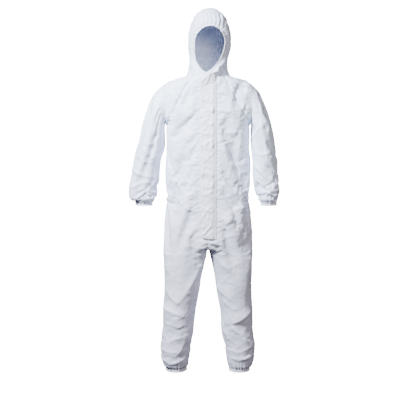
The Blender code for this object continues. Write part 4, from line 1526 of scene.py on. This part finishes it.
PAPER_GLOW = 22.0
LAMPS = [
    # name, place, aim, width and height, power, colour
    ("key", (-1.5, -1.8, 2.75), (0.05, -0.1, 1.10), (0.4, 0.5), 455, (0.90, 0.95, 1.0)),
    ("front", (0.9, -3.6, 2.2), (0.0, 0.0, 1.0), (1.4, 1.0), 75, (1.0, 0.96, 0.95)),
    ("side", (3.4, -1.6, 1.6), (0.0, 0.0, 0.9), (1.0, 1.4), 40, (1.0, 0.95, 0.93)),
    ("behind", (-0.8, 3.4, 2.6), (0.0, 0.0, 1.0), (2.4, 2.0), 120, (0.96, 0.98, 1.0)),
]


def add_light(name, place, target, size, power, colour):
    light = bpy.data.lights.new(name, "AREA")
    light.shape = "RECTANGLE"
    light.size, light.size_y = size
    light.energy = power
    light.color = colour
    obj = bpy.data.objects.new(name, light)
    bpy.context.scene.collection.objects.link(obj)
    obj.location = place
    obj.rotation_euler = (Vector(target) - Vector(place)).to_track_quat("-Z", "Y").to_euler()


def make_studio():
    make_stage()
    for lamp in LAMPS:
        add_light(*lamp)
    world = bpy.data.worlds.new("studio")
    bpy.context.scene.world = world
    world.use_nodes = True
    background = world.node_tree.nodes["Background"]
    background.inputs["Color"].default_value = (0.93, 0.95, 1.0, 1)
    background.inputs["Strength"].default_value = 0.26
    camera = bpy.data.cameras.new("camera")
    camera.lens = 88
    camera.sensor_width = 36
    obj = bpy.data.objects.new("camera", camera)
    bpy.context.scene.collection.objects.link(obj)
    place, target = Vector((-0.035, -4.3, 1.2)), Vector((-0.035, 0, 0.766))
    obj.location = place
    obj.rotation_euler = (target - place).to_track_quat("-Z", "Y").to_euler()
    bpy.context.scene.camera = obj


# ------------------------------------------------------------------ build

# Width and length of the cut, metres, and its area in square metres
FLAT = {"hood_centre_panel": (0.09, 0.60, 0.05)}
for hand in ("left", "right"):
    FLAT[f"front_{hand}_panel"] = FLAT[f"back_{hand}_panel"] = (0.36, 1.34, 0.30)
    FLAT[f"yoke_{hand}"] = (0.30, 0.34, 0.045)
    FLAT[f"hood_{hand}_panel"] = (0.27, 0.32, 0.055)
    FLAT[f"sleeve_{hand}"] = (0.48, 0.56, 0.16)


def build():
    prepare_finishes()
    dress_cad_nodes()
    grids = {"left": sleeve_grid(1), "right": sleeve_grid(-1)}
    rings = [grid[0] for grid in grids.values()]
    neck = hood_grid()[-1]
    pieces, body = make_body(rings, neck)
    arms, sleeves = {}, {}
    for side_name, side in (("left", 1), ("right", -1)):
        arms[f"sleeve_{side_name}"], sleeves[side_name] = make_sleeve(side_name, side, grids[side_name])
    hood, tree = make_hood(neck)
    pieces |= hood | arms
    make_flap()
    make_chin_flap()
    make_hood_edge()
    make_zip()
    make_elastics(body, sleeves)
    make_label(body)
    make_face_edge(tree)
    make_hem_stitches(body, sleeves)
    make_studio()


build()
